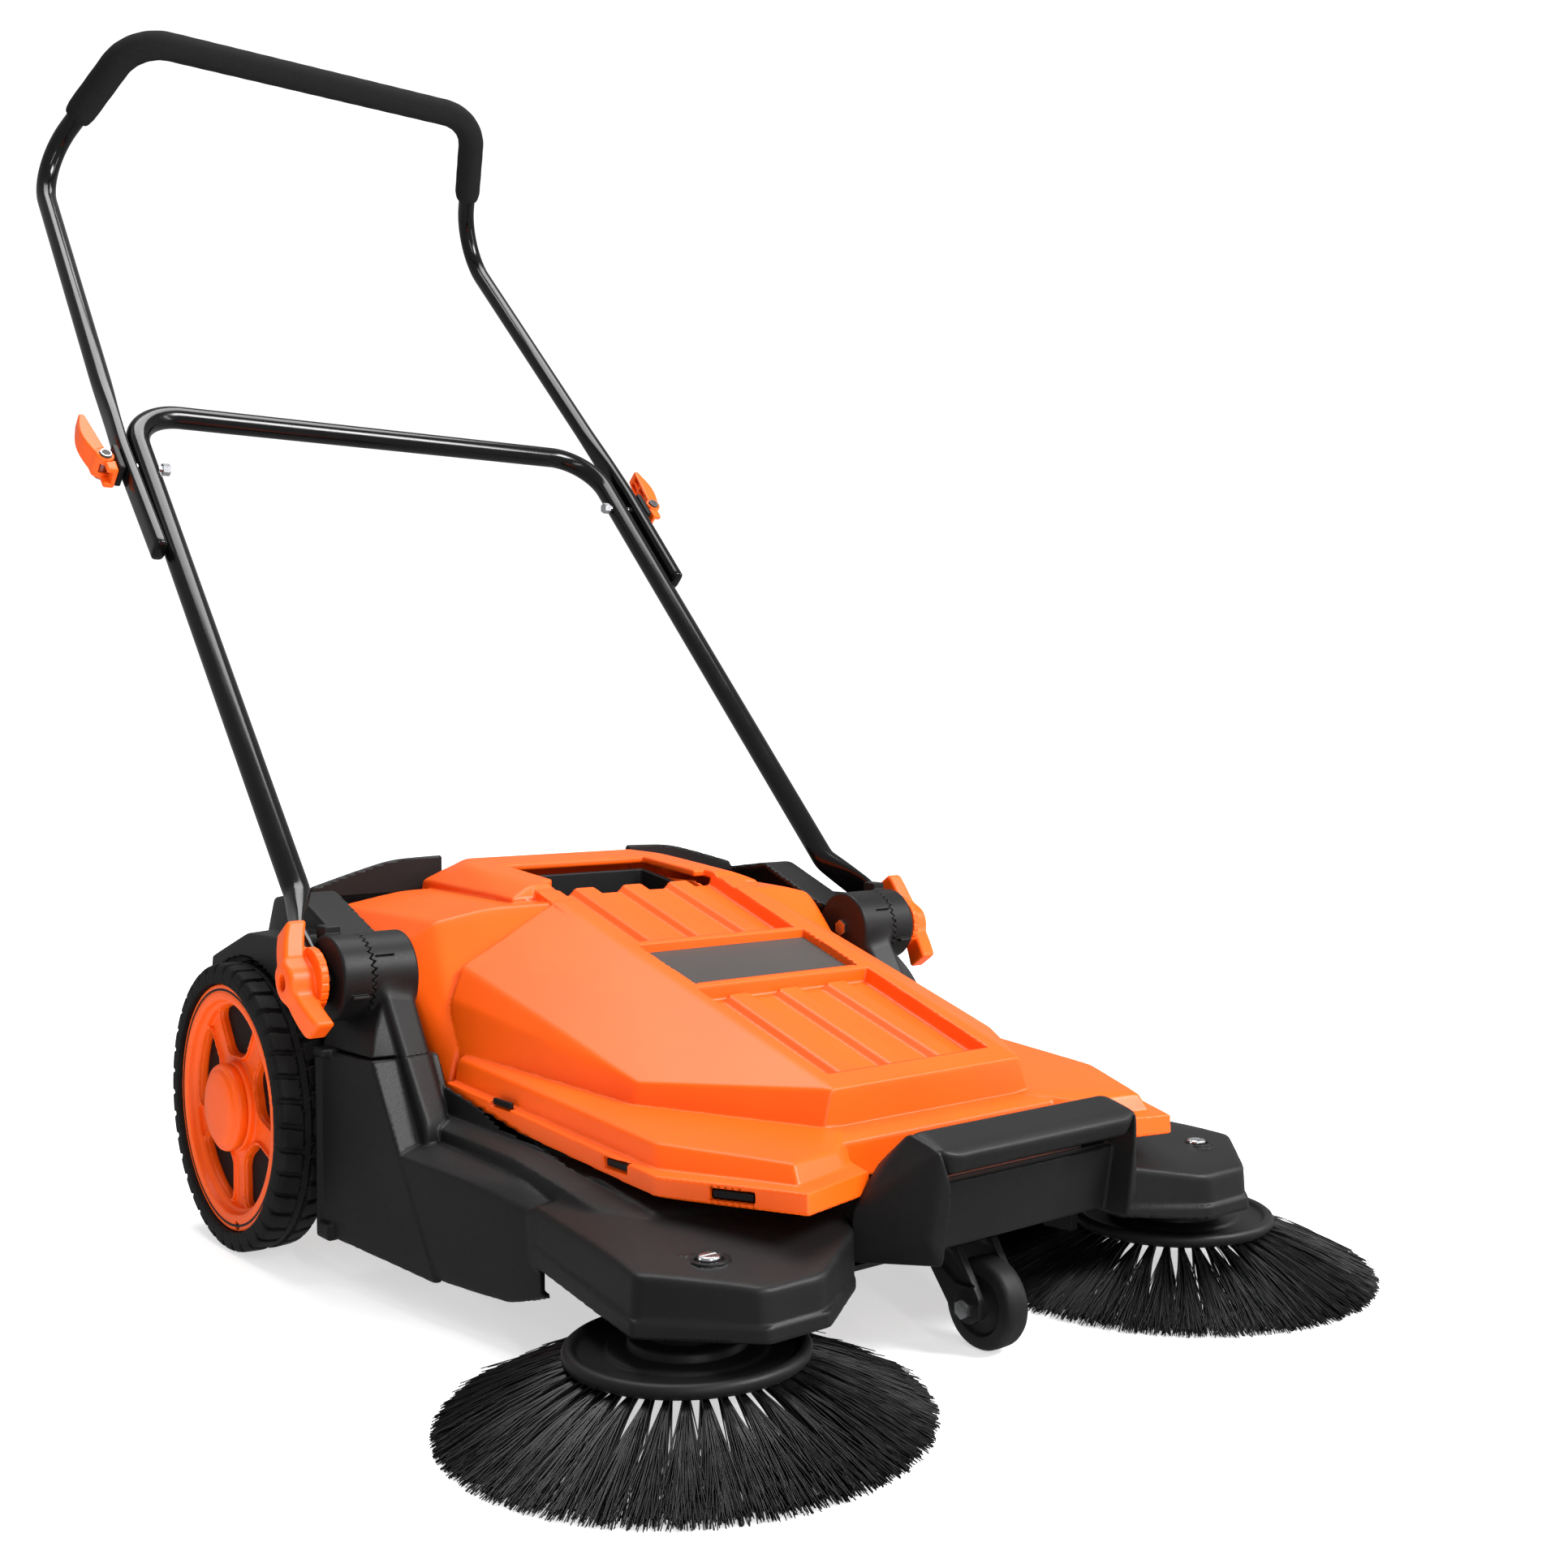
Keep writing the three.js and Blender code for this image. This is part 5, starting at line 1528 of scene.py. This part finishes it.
@dataclass
class Brushes:
    """Two disc brushes: plate, stepped hub and rings of bristle tufts."""

    shop: Workshop
    x: float = 274.5
    y: float = -604.7
    plate_z: float = 47.0
    tufts: int = 40
    strands: int = 98
    rows: tuple[tuple[float, float, float, float], ...] = ((84.5, 46.8, 181.0, 3.2), (76.0, 46.2, 170.0, 2.2))

    def plate(self, name: str) -> bpy.types.Object:
        """Plate with a raised rim and stepped hub."""
        profile = [(8.3, 0), (85.6, 0), (89.5, 1.5), (91.6, 4), (91.6, 8), (90.6, 10), (88.6, 11.6), (86.2, 12),
                   (83.8, 11.4), (82.2, 9.2), (81.2, 7.6), (79.0, 7), (62, 7), (60.6, 7.6), (59.6, 9.2), (57.6, 10),
                   (46, 10), (44.6, 10.8), (43.8, 15.6), (42.4, 17), (40.8, 17.6), (31.4, 18), (30.2, 18.8),
                   (29.4, 22.6), (28, 24), (8.3, 24)]
        return Shop.lathe(name, profile, (self.x, self.y, self.plate_z), Way.Z, 128, 50)

    def bristles(self, name: str) -> bpy.types.Object:
        """All the tufts as thin three-sided strands.

        Args:
            name: the piece's name.

        Returns:
            The ring of bristles.
        """
        chance = np.random.default_rng(11)
        across = np.array([0.0, 0.18, 0.45, 0.75, 1.0])
        joints = len(across)
        verts, faces, start = [], [], 0
        for root_r, root_z, tip_r, tip_z in self.rows:
            n = self.tufts * self.strands
            turn = np.repeat(np.arange(self.tufts), self.strands) * 2 * np.pi / self.tufts
            spot = np.clip(chance.normal(0, 1, (n, 2)), -1.9, 1.9) * 1.1
            flare = np.clip(chance.normal(0, 1, n), -2.2, 2.2) * 0.037 + spot[:, 0] * 0.02
            r0 = root_r + spot[:, 1] * 1.2
            z0 = root_z - np.abs(spot[:, 1]) * 0.4
            r1 = tip_r + chance.normal(0, 1, n) * 2.2 + chance.uniform(-6, 3.4, n) * (chance.random(n) < 0.7)
            r1 = np.minimum(r1, 184.6)
            z1 = np.maximum(tip_z + chance.normal(0, 1, n) * 2.6 + (tip_r - r1) * 0.12, 0.9)
            bow = chance.normal(2.4, 1.6, n)
            swing = chance.normal(0.0, 0.012, n)
            t = across[None]
            r = r0[:, None] + (r1 - r0)[:, None] * t
            z = z0[:, None] + (z1 - z0)[:, None] * t + bow[:, None] * 4 * t * (1 - t) * (1.0 - 0.4 * t)
            a = turn[:, None] + spot[:, :1] / root_r + flare[:, None] * t + swing[:, None] * 4 * t * (1 - t)
            centre = np.stack([r * np.cos(a), r * np.sin(a), np.maximum(z, 0.8)], -1)
            thick = (0.66 - 0.18 * t) * np.ones((n, 1))
            side = np.stack([-np.sin(a), np.cos(a), np.zeros_like(a)], -1)
            up = np.array([0.25, 0, 0.97])
            lift = np.stack([up[0] * np.cos(a), up[0] * np.sin(a), np.full_like(a, up[2])], -1)
            corners = [(0.0, 1.0), (-0.87, -0.5), (0.87, -0.5)]
            ring_points = np.stack([centre + thick[..., None] * (cx * side + cz * lift) for cx, cz in corners], 2)
            points = ring_points.reshape(-1, 3)
            points[:, 2] = np.maximum(points[:, 2], 0.35)
            base = start + np.arange(n)[:, None, None] * joints * 3
            i, j = np.arange(joints - 1)[None, :, None], np.arange(3)[None, None, :]
            k = (j + 1) % 3
            quad = np.stack([base + i * 3 + j, base + i * 3 + k, base + (i + 1) * 3 + k, base + (i + 1) * 3 + j], -1)
            faces.append(quad.reshape(-1, 4))
            verts.append(points)
            start += len(points)
        points = np.concatenate(verts) + (self.x, self.y, 0)
        return Shop.mesh(name, points, np.concatenate(faces))

    def build(self) -> None:
        """Makes both brushes."""
        plate, hairs = self.plate("plate_left"), self.bristles("bristle_ring_left")
        for piece, slot, node in ((plate, "black_plastic", "brush_plate_left"),
                                  (hairs, "bristle_plastic", "brush_bristles_left")):
            self.shop.pair(piece, "brush_left", slot, node)


@dataclass
class Caster:
    """Small front caster: moulded fork and a solid wheel on a bolt."""

    shop: Workshop
    stem_y: float = -592.0
    y: float = -638.0
    radius: float = 37.5
    half: float = 12.0

    def fork(self) -> Solid:
        """The fork with its stem."""
        w, sy, y = self.half, self.stem_y, self.y
        stem = rod((0, sy, 80), (0, sy, 130), 8.0, 1.0)
        crown = block([(-24, sy + 18, 84), (24, sy + 18, 84), (-24, sy - 30, 82), (24, sy - 30, 82),
                       (-22, sy + 16, 96),
                       (22, sy + 16, 96), (-22, sy - 18, 96), (22, sy - 18, 96)], 3.0)
        cheek = block([(w + 4, sy + 17, 86), (w + 12, sy + 17, 86), (w + 4, sy - 34, 86), (w + 12, sy - 34, 86),
                       (w + 4, y + 15, 28), (w + 12, y + 15, 28), (w + 4, y - 14, 30), (w + 12, y - 14, 30),
                       (w + 4, y - 15, 46), (w + 12, y - 15, 46)], 2.2)
        panel = block([(w + 9.5, sy + 8, 80), (w + 14, sy + 8, 80), (w + 9.5, sy - 26, 80), (w + 14, sy - 26, 80),
                       (w + 9.5, y + 12, 56), (w + 14, y + 12, 56), (w + 9.5, y - 8, 56), (w + 14, y - 8, 56)], 1.0)
        boss = rod((w + 4, y, self.radius), (w + 12, y, self.radius), 13, 2.0)
        bore = rod((-40, y, self.radius), (40, y, self.radius), 4.3, 0.2)
        sides = cheek.carved(panel, 1.0).fused(boss, 2.0).mirrored()
        return stem.fused(crown, 3.0).fused(sides, 4.0) - bore

    def wheel(self) -> bpy.types.Object:
        """The wheel with a hub and a rounded tread."""
        w, r = self.half, self.radius
        profile = [(4.3, -w - 3), (11, -w - 3), (12, -w - 2), (12, -w + 2), (14, -w + 3.4), (23, -w + 3.4),
                   (24.4, -w + 1.6), (25.4, -w), (r - 4.4, -w), (r - 1.8, -w + 1.2), (r - 0.3, -w + 4), (r, -w + 8),
                   (r, w - 8), (r - 0.3, w - 4), (r - 1.8, w - 1.2), (r - 4.4, w), (25.4, w), (24.4, w - 1.6),
                   (23, w - 3.4), (14, w - 3.4), (12, w - 2), (12, w + 2), (11, w + 3), (4.3, w + 3)]
        return Shop.lathe("caster_tread", profile, (0, self.y, r), Way.X, 72, 50)

    def build(self) -> None:
        """Makes the caster."""
        fork = Shop.mould("caster_frame", self.fork(), (-25, -656, 26), (25, -572, 131), 1.3 * self.shop.coarse)
        self.shop.fit(fork, "caster_swivel", "black_plastic", "caster_fork")
        self.shop.fit(self.wheel(), "caster_roller", "grey_rubber", "caster_wheel")


# ------------------------------------------------------------------ handle


@dataclass
class Handle:
    """Folding tube handle: lower frame on the ratchets, upper frame on two cam clamps."""

    shop: Workshop
    lower_r: float = 13.0
    upper_r: float = 11.5
    foam_r: float = 17.4
    corner: Point = (310.0, 443.7, 865.2)
    bend: Point = (303.4, 778.3, 1218.0)
    grip: Point = (233.7, 618.3, 1355.2)
    foam_start: float = 0.42
    clamp: tuple[float, float] = (374.0, 794.0)
    face: float = 342.9
    leg_way: tuple[float, float] = (0.684, 0.7295)

    def lower(self) -> bpy.types.Object:
        """The lower frame as one bent tube with flattened feet."""
        leg = [(344.9, -153.0, 270.0), (344.9, -88.0, 314.0), (323.5, -42.0, 347.5), self.corner]
        right = [(-x, y, z) for x, y, z in reversed(leg)]
        path = bent_path(leg + right, [34, 34, 62, 62, 34, 34], 5.0)
        height = np.minimum(path[:, 1], 1e9)
        t = np.clip((height + 84) / 52, 0, 1)
        t = t * t * (3 - 2 * t)
        thin = 3.75 + (self.lower_r - 3.75) * t
        wide = 16.0 + (self.lower_r - 16.0) * t
        square = 4.5 + (2.0 - 4.5) * t
        return Shop.tube("lower_tube", path, np.stack([thin, wide], 1), square, (1, 0, 0), 36)

    def upper_leg(self) -> bpy.types.Object:
        """An upper leg with its flattened tail."""
        y0, z0 = 276.4, 694.5
        def along(z: float) -> float:
            """The y of the leg at a height."""
            return self.bend[1] + (z - self.bend[2]) * (self.bend[1] - y0) / (self.bend[2] - z0)
        end = np.array(self.bend) + (np.array(self.grip) - self.bend) * (self.foam_start + 0.06)
        corners = [(335.2, along(z0), z0), (335.2, along(812), 812), self.bend, tuple(end)]
        path = bent_path(corners, [500, 70], 5.0)
        t = np.clip((path[:, 2] - 842) / 70, 0, 1)
        t = t * t * (3 - 2 * t)
        thin = 7.2 + (self.upper_r - 7.2) * t
        wide = 13.4 + (self.upper_r - 13.4) * t
        square = 3.4 + (2.0 - 3.4) * t
        return Shop.tube("upper_tube_left", path, np.stack([thin, wide], 1), square, (1, 0, 0), 36)

    def foam(self) -> bpy.types.Object:
        """The foam sleeve."""
        start = np.array(self.bend) + (np.array(self.grip) - self.bend) * (self.foam_start + 0.002)
        mirror = (-1, 1, 1)
        corners = [tuple(start), self.grip, tuple(np.multiply(self.grip, mirror)), tuple(start * mirror)]
        path = bent_path(corners, [62, 62], 4.0)
        n = len(path)
        away = np.minimum(np.arange(n), np.arange(n)[::-1]) * 4.0
        r = self.foam_r - 1.6 * np.exp(-(away / 5.0) ** 2) + 0.12 * np.sin(np.arange(n) * 0.9)
        return Shop.tube("foam_sleeve", path, np.stack([r, r], 1), np.full(n, 2.0), (0, 0, 1), 48)

    def at_clamp(self, shape: Callable[[Array, Array, Array], Array]) -> Solid:
        """A solid drawn at the clamp: outwards from the saddle's face, along the leg and across it.

        Args:
            shape: distance from the three clamp coordinates.

        Returns:
            The solid.
        """
        cy, cz = self.clamp
        ly, lz = self.leg_way

        def distance(p: Array) -> Array:
            """Signed distance at the points."""
            y, z = p[:, 1] - cy, p[:, 2] - cz
            return shape(p[:, 0] - self.face, ly * y + lz * z, -lz * y + ly * z)
        return Solid(distance)

    @staticmethod
    def box_at(q: Sequence[Array], half: Sequence[float], edge: float) -> Array:
        """Distance to a rounded box from its centred coordinates."""
        d = np.stack([np.abs(v) - h + edge for v, h in zip(q, half)], 1)
        return np.linalg.norm(np.maximum(d, 0), axis=1) + np.minimum(d.max(1), 0) - edge

    def saddle(self) -> Solid:
        """Black saddle under the cam."""
        def shape(out: Array, along: Array, across: Array) -> Array:
            """Distance from the three clamp coordinates."""
            base = self.box_at((out - 3.6, along, across), (3.6, 19.0, 14.5), 2.0)
            seat = self.box_at((out - 4.2, along, across), (4.0, 12.0, 11.5), 2.0)
            dish = np.hypot(out - 18.0, along) - 9.9
            return np.maximum(np.minimum(base, seat), -dish)
        bore = rod((330, *self.clamp), (370, *self.clamp), 4.3, 0.1)
        return self.at_clamp(shape) - bore

    def lever(self) -> Solid:
        """Orange cam lever, curved, with a thumb lip."""
        def shape(out: Array, along: Array, across: Array) -> Array:
            """Distance from the three clamp coordinates."""
            u = out - 18.0
            cam = Wheels.rounded(np.hypot(u, along) - 9.4, np.abs(across) - 14.0, 1.5)
            t = np.clip(along / 72.0, 0, 1)
            inner = -4.0 + 9.0 * t
            outer = 9.4 + 7.5 * np.sin(np.pi * np.clip(t * 0.95 + 0.02, 0, 1)) ** 1.2 + 1.5 * t
            centre, half_thick, half_width = (inner + outer) / 2, (outer - inner) / 2, 14.0 - 4.0 * t
            d = np.stack([np.abs(u - centre) - half_thick + 2.2, np.abs(along - 35) - 38 + 2.2,
                          np.abs(across) - half_width + 2.2], 1)
            blade = (np.linalg.norm(np.maximum(d, 0), axis=1) + np.minimum(d.max(1), 0) - 2.2) * 0.85
            h = np.maximum(4.0 - np.abs(cam - blade), 0) / 4.0
            body = np.minimum(cam, blade) - h * h
            slot = self.box_at((u + 3, along + 4, across), (8.5, 18.5, 6.0), 1.0)
            cells = self.box_at((u - inner - 1.0, np.abs(along - 43) - 11.5, np.abs(across) - 4.6),
                                (5.5, 9.6, 3.6), 1.0)
            return np.maximum(np.maximum(body, -slot), -cells)
        cy, cz = self.clamp
        ly, lz = self.leg_way
        x = self.face + 18
        a, b = ((x, cy - lz * k, cz + ly * k) for k in (-30, 30))
        return self.at_clamp(shape) - rod(a, b, 6.3, 0.1)

    def fork(self) -> Solid:
        """Orange cheeks under the cam, which stay with the bolt."""
        def shape(out: Array, along: Array, across: Array) -> Array:
            """Distance from the three clamp coordinates."""
            u = out - 18.0
            cheek = self.box_at((u + 3.2, along + 12, np.abs(across) - 10.4), (6.0, 12.0, 3.4), 2.4)
            floor = self.box_at((u + 6.9, along + 16.5, across), (2.2, 7.5, 12.0), 1.2)
            return np.maximum(np.minimum(cheek, floor), 11.6 - np.hypot(u, along))
        return self.at_clamp(shape)

    def rivet(self) -> Solid:
        """Dark heads of the cam's cross pin."""
        cy, cz = self.clamp
        ly, lz = self.leg_way
        x = self.face + 18
        heads = [rod((x, cy - lz * a, cz + ly * a), (x, cy - lz * b, cz + ly * b), 6.9, 1.2)
                 for a, b in ((13.2, 17.0), (-17.0, -13.2))]
        return heads[0] | heads[1]

    def build(self) -> None:
        """Makes the whole handle."""
        lower, upper = self.lower(), self.upper_leg()
        self.shop.fit(lower, "handle_lower", "coated_tube", "lower_leg_left", "lower_leg_right", "lower_cross_tube")
        self.shop.pair(upper, "handle_upper", "coated_tube", "upper_leg_left")
        self.shop.fit(self.foam(), "handle_upper", "grip_foam", "foam_grip")
        cy, cz = self.clamp
        for name, shape, body, slot, node, reach in (
                ("saddle_left", self.saddle(), "handle_upper", "black_plastic", "clamp_saddle_left", 26),
                ("cam_lever_left", self.lever(), "lever_left", "orange_plastic", "clamp_lever_left", 84),
                ("cam_fork_left", self.fork(), "handle_lower", "orange_plastic", "", 30),
                ("cam_rivet_left", self.rivet(), "lever_left", "badge_plastic", "", 30)):
            piece = Shop.mould(name, shape, (self.face - 2, cy - 30, cz - 30),
                               (self.face + 40, cy + reach, cz + reach), 0.9 * self.shop.coarse)
            self.shop.pair(piece, body, slot, node)


# ------------------------------------------------------------------ the stage


@dataclass
class Studio:
    """Floor, soft lights and the camera."""

    stand: Point = (-1.02673, -1.65475, 0.51128)
    turn: float = -0.699453088
    rise: float = 0.0390341316
    roll: float = -0.0017551252
    focal: float = 2217.93 / 1932 * 36
    shift: tuple[float, float] = ((966 - 1029.635) / 1932, (974.179 - 966) / 1932)

    def camera(self) -> None:
        """Puts up the camera."""
        data = bpy.data.cameras.new("camera")
        data.sensor_width, data.sensor_height, data.sensor_fit = 36, 36, "AUTO"
        data.lens, (data.shift_x, data.shift_y) = self.focal, self.shift
        data.clip_end = 100
        a, e = self.turn, self.rise
        ahead = Vector((-math.sin(a) * math.cos(e), math.cos(a) * math.cos(e), -math.sin(e)))
        right = ahead.cross(Vector((0, 0, 1))).normalized()
        up = right.cross(ahead)
        c, s = math.cos(self.roll), math.sin(self.roll)
        side, top = right * c + up * s, up * c - right * s
        holder = bpy.data.objects.new("camera", data)
        basis = Matrix((side, top, -ahead)).transposed().to_4x4()
        holder.matrix_world = Matrix.Translation(self.stand) @ basis
        bpy.context.scene.collection.objects.link(holder)
        bpy.context.scene.camera = holder

    def light(self, name: str, power: float, size: tuple[float, float], place: Point, aim: Point) -> None:
        """Hangs an area light.

        Args:
            name: the light's name.
            power: watts.
            size: width and height in metres.
            place: where it hangs.
            aim: what it looks at.
        """
        data = bpy.data.lights.new(name, "AREA")
        data.energy, data.shape, data.size, data.size_y = power, "RECTANGLE", *size
        holder = bpy.data.objects.new(name, data)
        way = Vector(aim) - Vector(place)
        holder.matrix_world = Matrix.Translation(place) @ way.to_track_quat("-Z", "Y").to_matrix().to_4x4()
        bpy.context.scene.collection.objects.link(holder)

    def floor(self) -> None:
        """Lays the floor, which glows with painted light: dimmer near the machine, brighter towards the far floor."""
        work = bmesh.new()
        bmesh.ops.create_grid(work, x_segments=8, y_segments=8, size=30)
        mesh = bpy.data.meshes.new("floor")
        work.to_mesh(mesh)
        work.free()
        piece = bpy.data.objects.new("floor", mesh)
        s = Surface("floor_paint_and_glow")
        reach = s.node("ShaderNodeVectorMath", {"operation": "LENGTH"}, {0: s.place}, "Value")
        # painted light: the floor's emission rises from 0.58 within 1.2 m of its middle to 1.0 beyond 5 m, so the far
        # floor shows white
        glow = s.blend(s.span(reach, 1.2, 5.0), (0.58, 0.58, 0.58), (1.0, 1.0, 1.0))
        s.set(Base_Color=(0.86, 0.86, 0.86, 1), Roughness=0.9, Specular_IOR_Level=0.1,
              Emission_Color=glow, Emission_Strength=1.0)
        mesh.materials.append(s.material)
        bpy.context.scene.collection.objects.link(piece)
        piece.location.z = -0.0004
        piece.visible_glossy = False

    def backdrop(self) -> None:
        """Hangs a plain white dome far behind everything, which lights nothing."""
        work = bmesh.new()
        bmesh.ops.create_uvsphere(work, u_segments=48, v_segments=24, radius=45)
        mesh = bpy.data.meshes.new("backdrop")
        work.to_mesh(mesh)
        work.free()
        piece = bpy.data.objects.new("backdrop", mesh)
        s = Surface("backdrop_paint")
        s.set(Base_Color=(0, 0, 0, 1), Specular_IOR_Level=0.0, Roughness=1.0, Emission_Color=(1, 1, 1, 1),
              Emission_Strength=1.1)
        mesh.materials.append(s.material)
        bpy.context.scene.collection.objects.link(piece)
        piece.visible_diffuse = piece.visible_glossy = piece.visible_transmission = False
        piece.visible_shadow = piece.visible_volume_scatter = False

    def build(self) -> None:
        """Sets the whole stage."""
        self.camera()
        self.floor()
        self.backdrop()
        world = bpy.data.worlds.new("studio")
        bpy.context.scene.world = world
        world.use_nodes = True
        world.node_tree.nodes["Background"].inputs[0].default_value = (1.0, 1.0, 1.0, 1)
        world.node_tree.nodes["Background"].inputs[1].default_value = 0.36
        self.light("key", 185, (1.3, 1.3), (1.5, -2.7, 2.7), (0, -0.1, 0.3))
        self.light("top", 90, (2.4, 1.5), (0.2, 0.6, 3.4), (0, -0.1, 0.2))
        self.light("strip_front", 26, (0.12, 2.2), (-0.9, -3.0, 1.4), (0, -0.1, 0.7))
        self.light("strip_side", 22, (0.12, 2.4), (2.4, -1.6, 1.3), (0, 0.2, 0.7))
        view = bpy.context.scene.view_settings
        view.view_transform, view.look, view.exposure, view.gamma = "Standard", "None", 0.0, 1.0


def main() -> None:
    """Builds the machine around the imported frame."""
    logging.basicConfig(level=logging.INFO, format="%(message)s")
    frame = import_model()
    Studio().build()
    finishes = Finishes()
    finishes.repaint(frame["nodes"])
    shop = Workshop(finishes, 1.0)
    for assembly in (Hopper(shop), Chassis(shop), RearCover(shop), CarryHandle(shop), Ratchet(shop), Wheels(shop),
                     Brushes(shop), Caster(shop), Handle(shop)):
        assembly.build()
        LOG.info("built %s", type(assembly).__name__)
    bpy.context.view_layer.update()


if __name__ == "__main__":
    main()
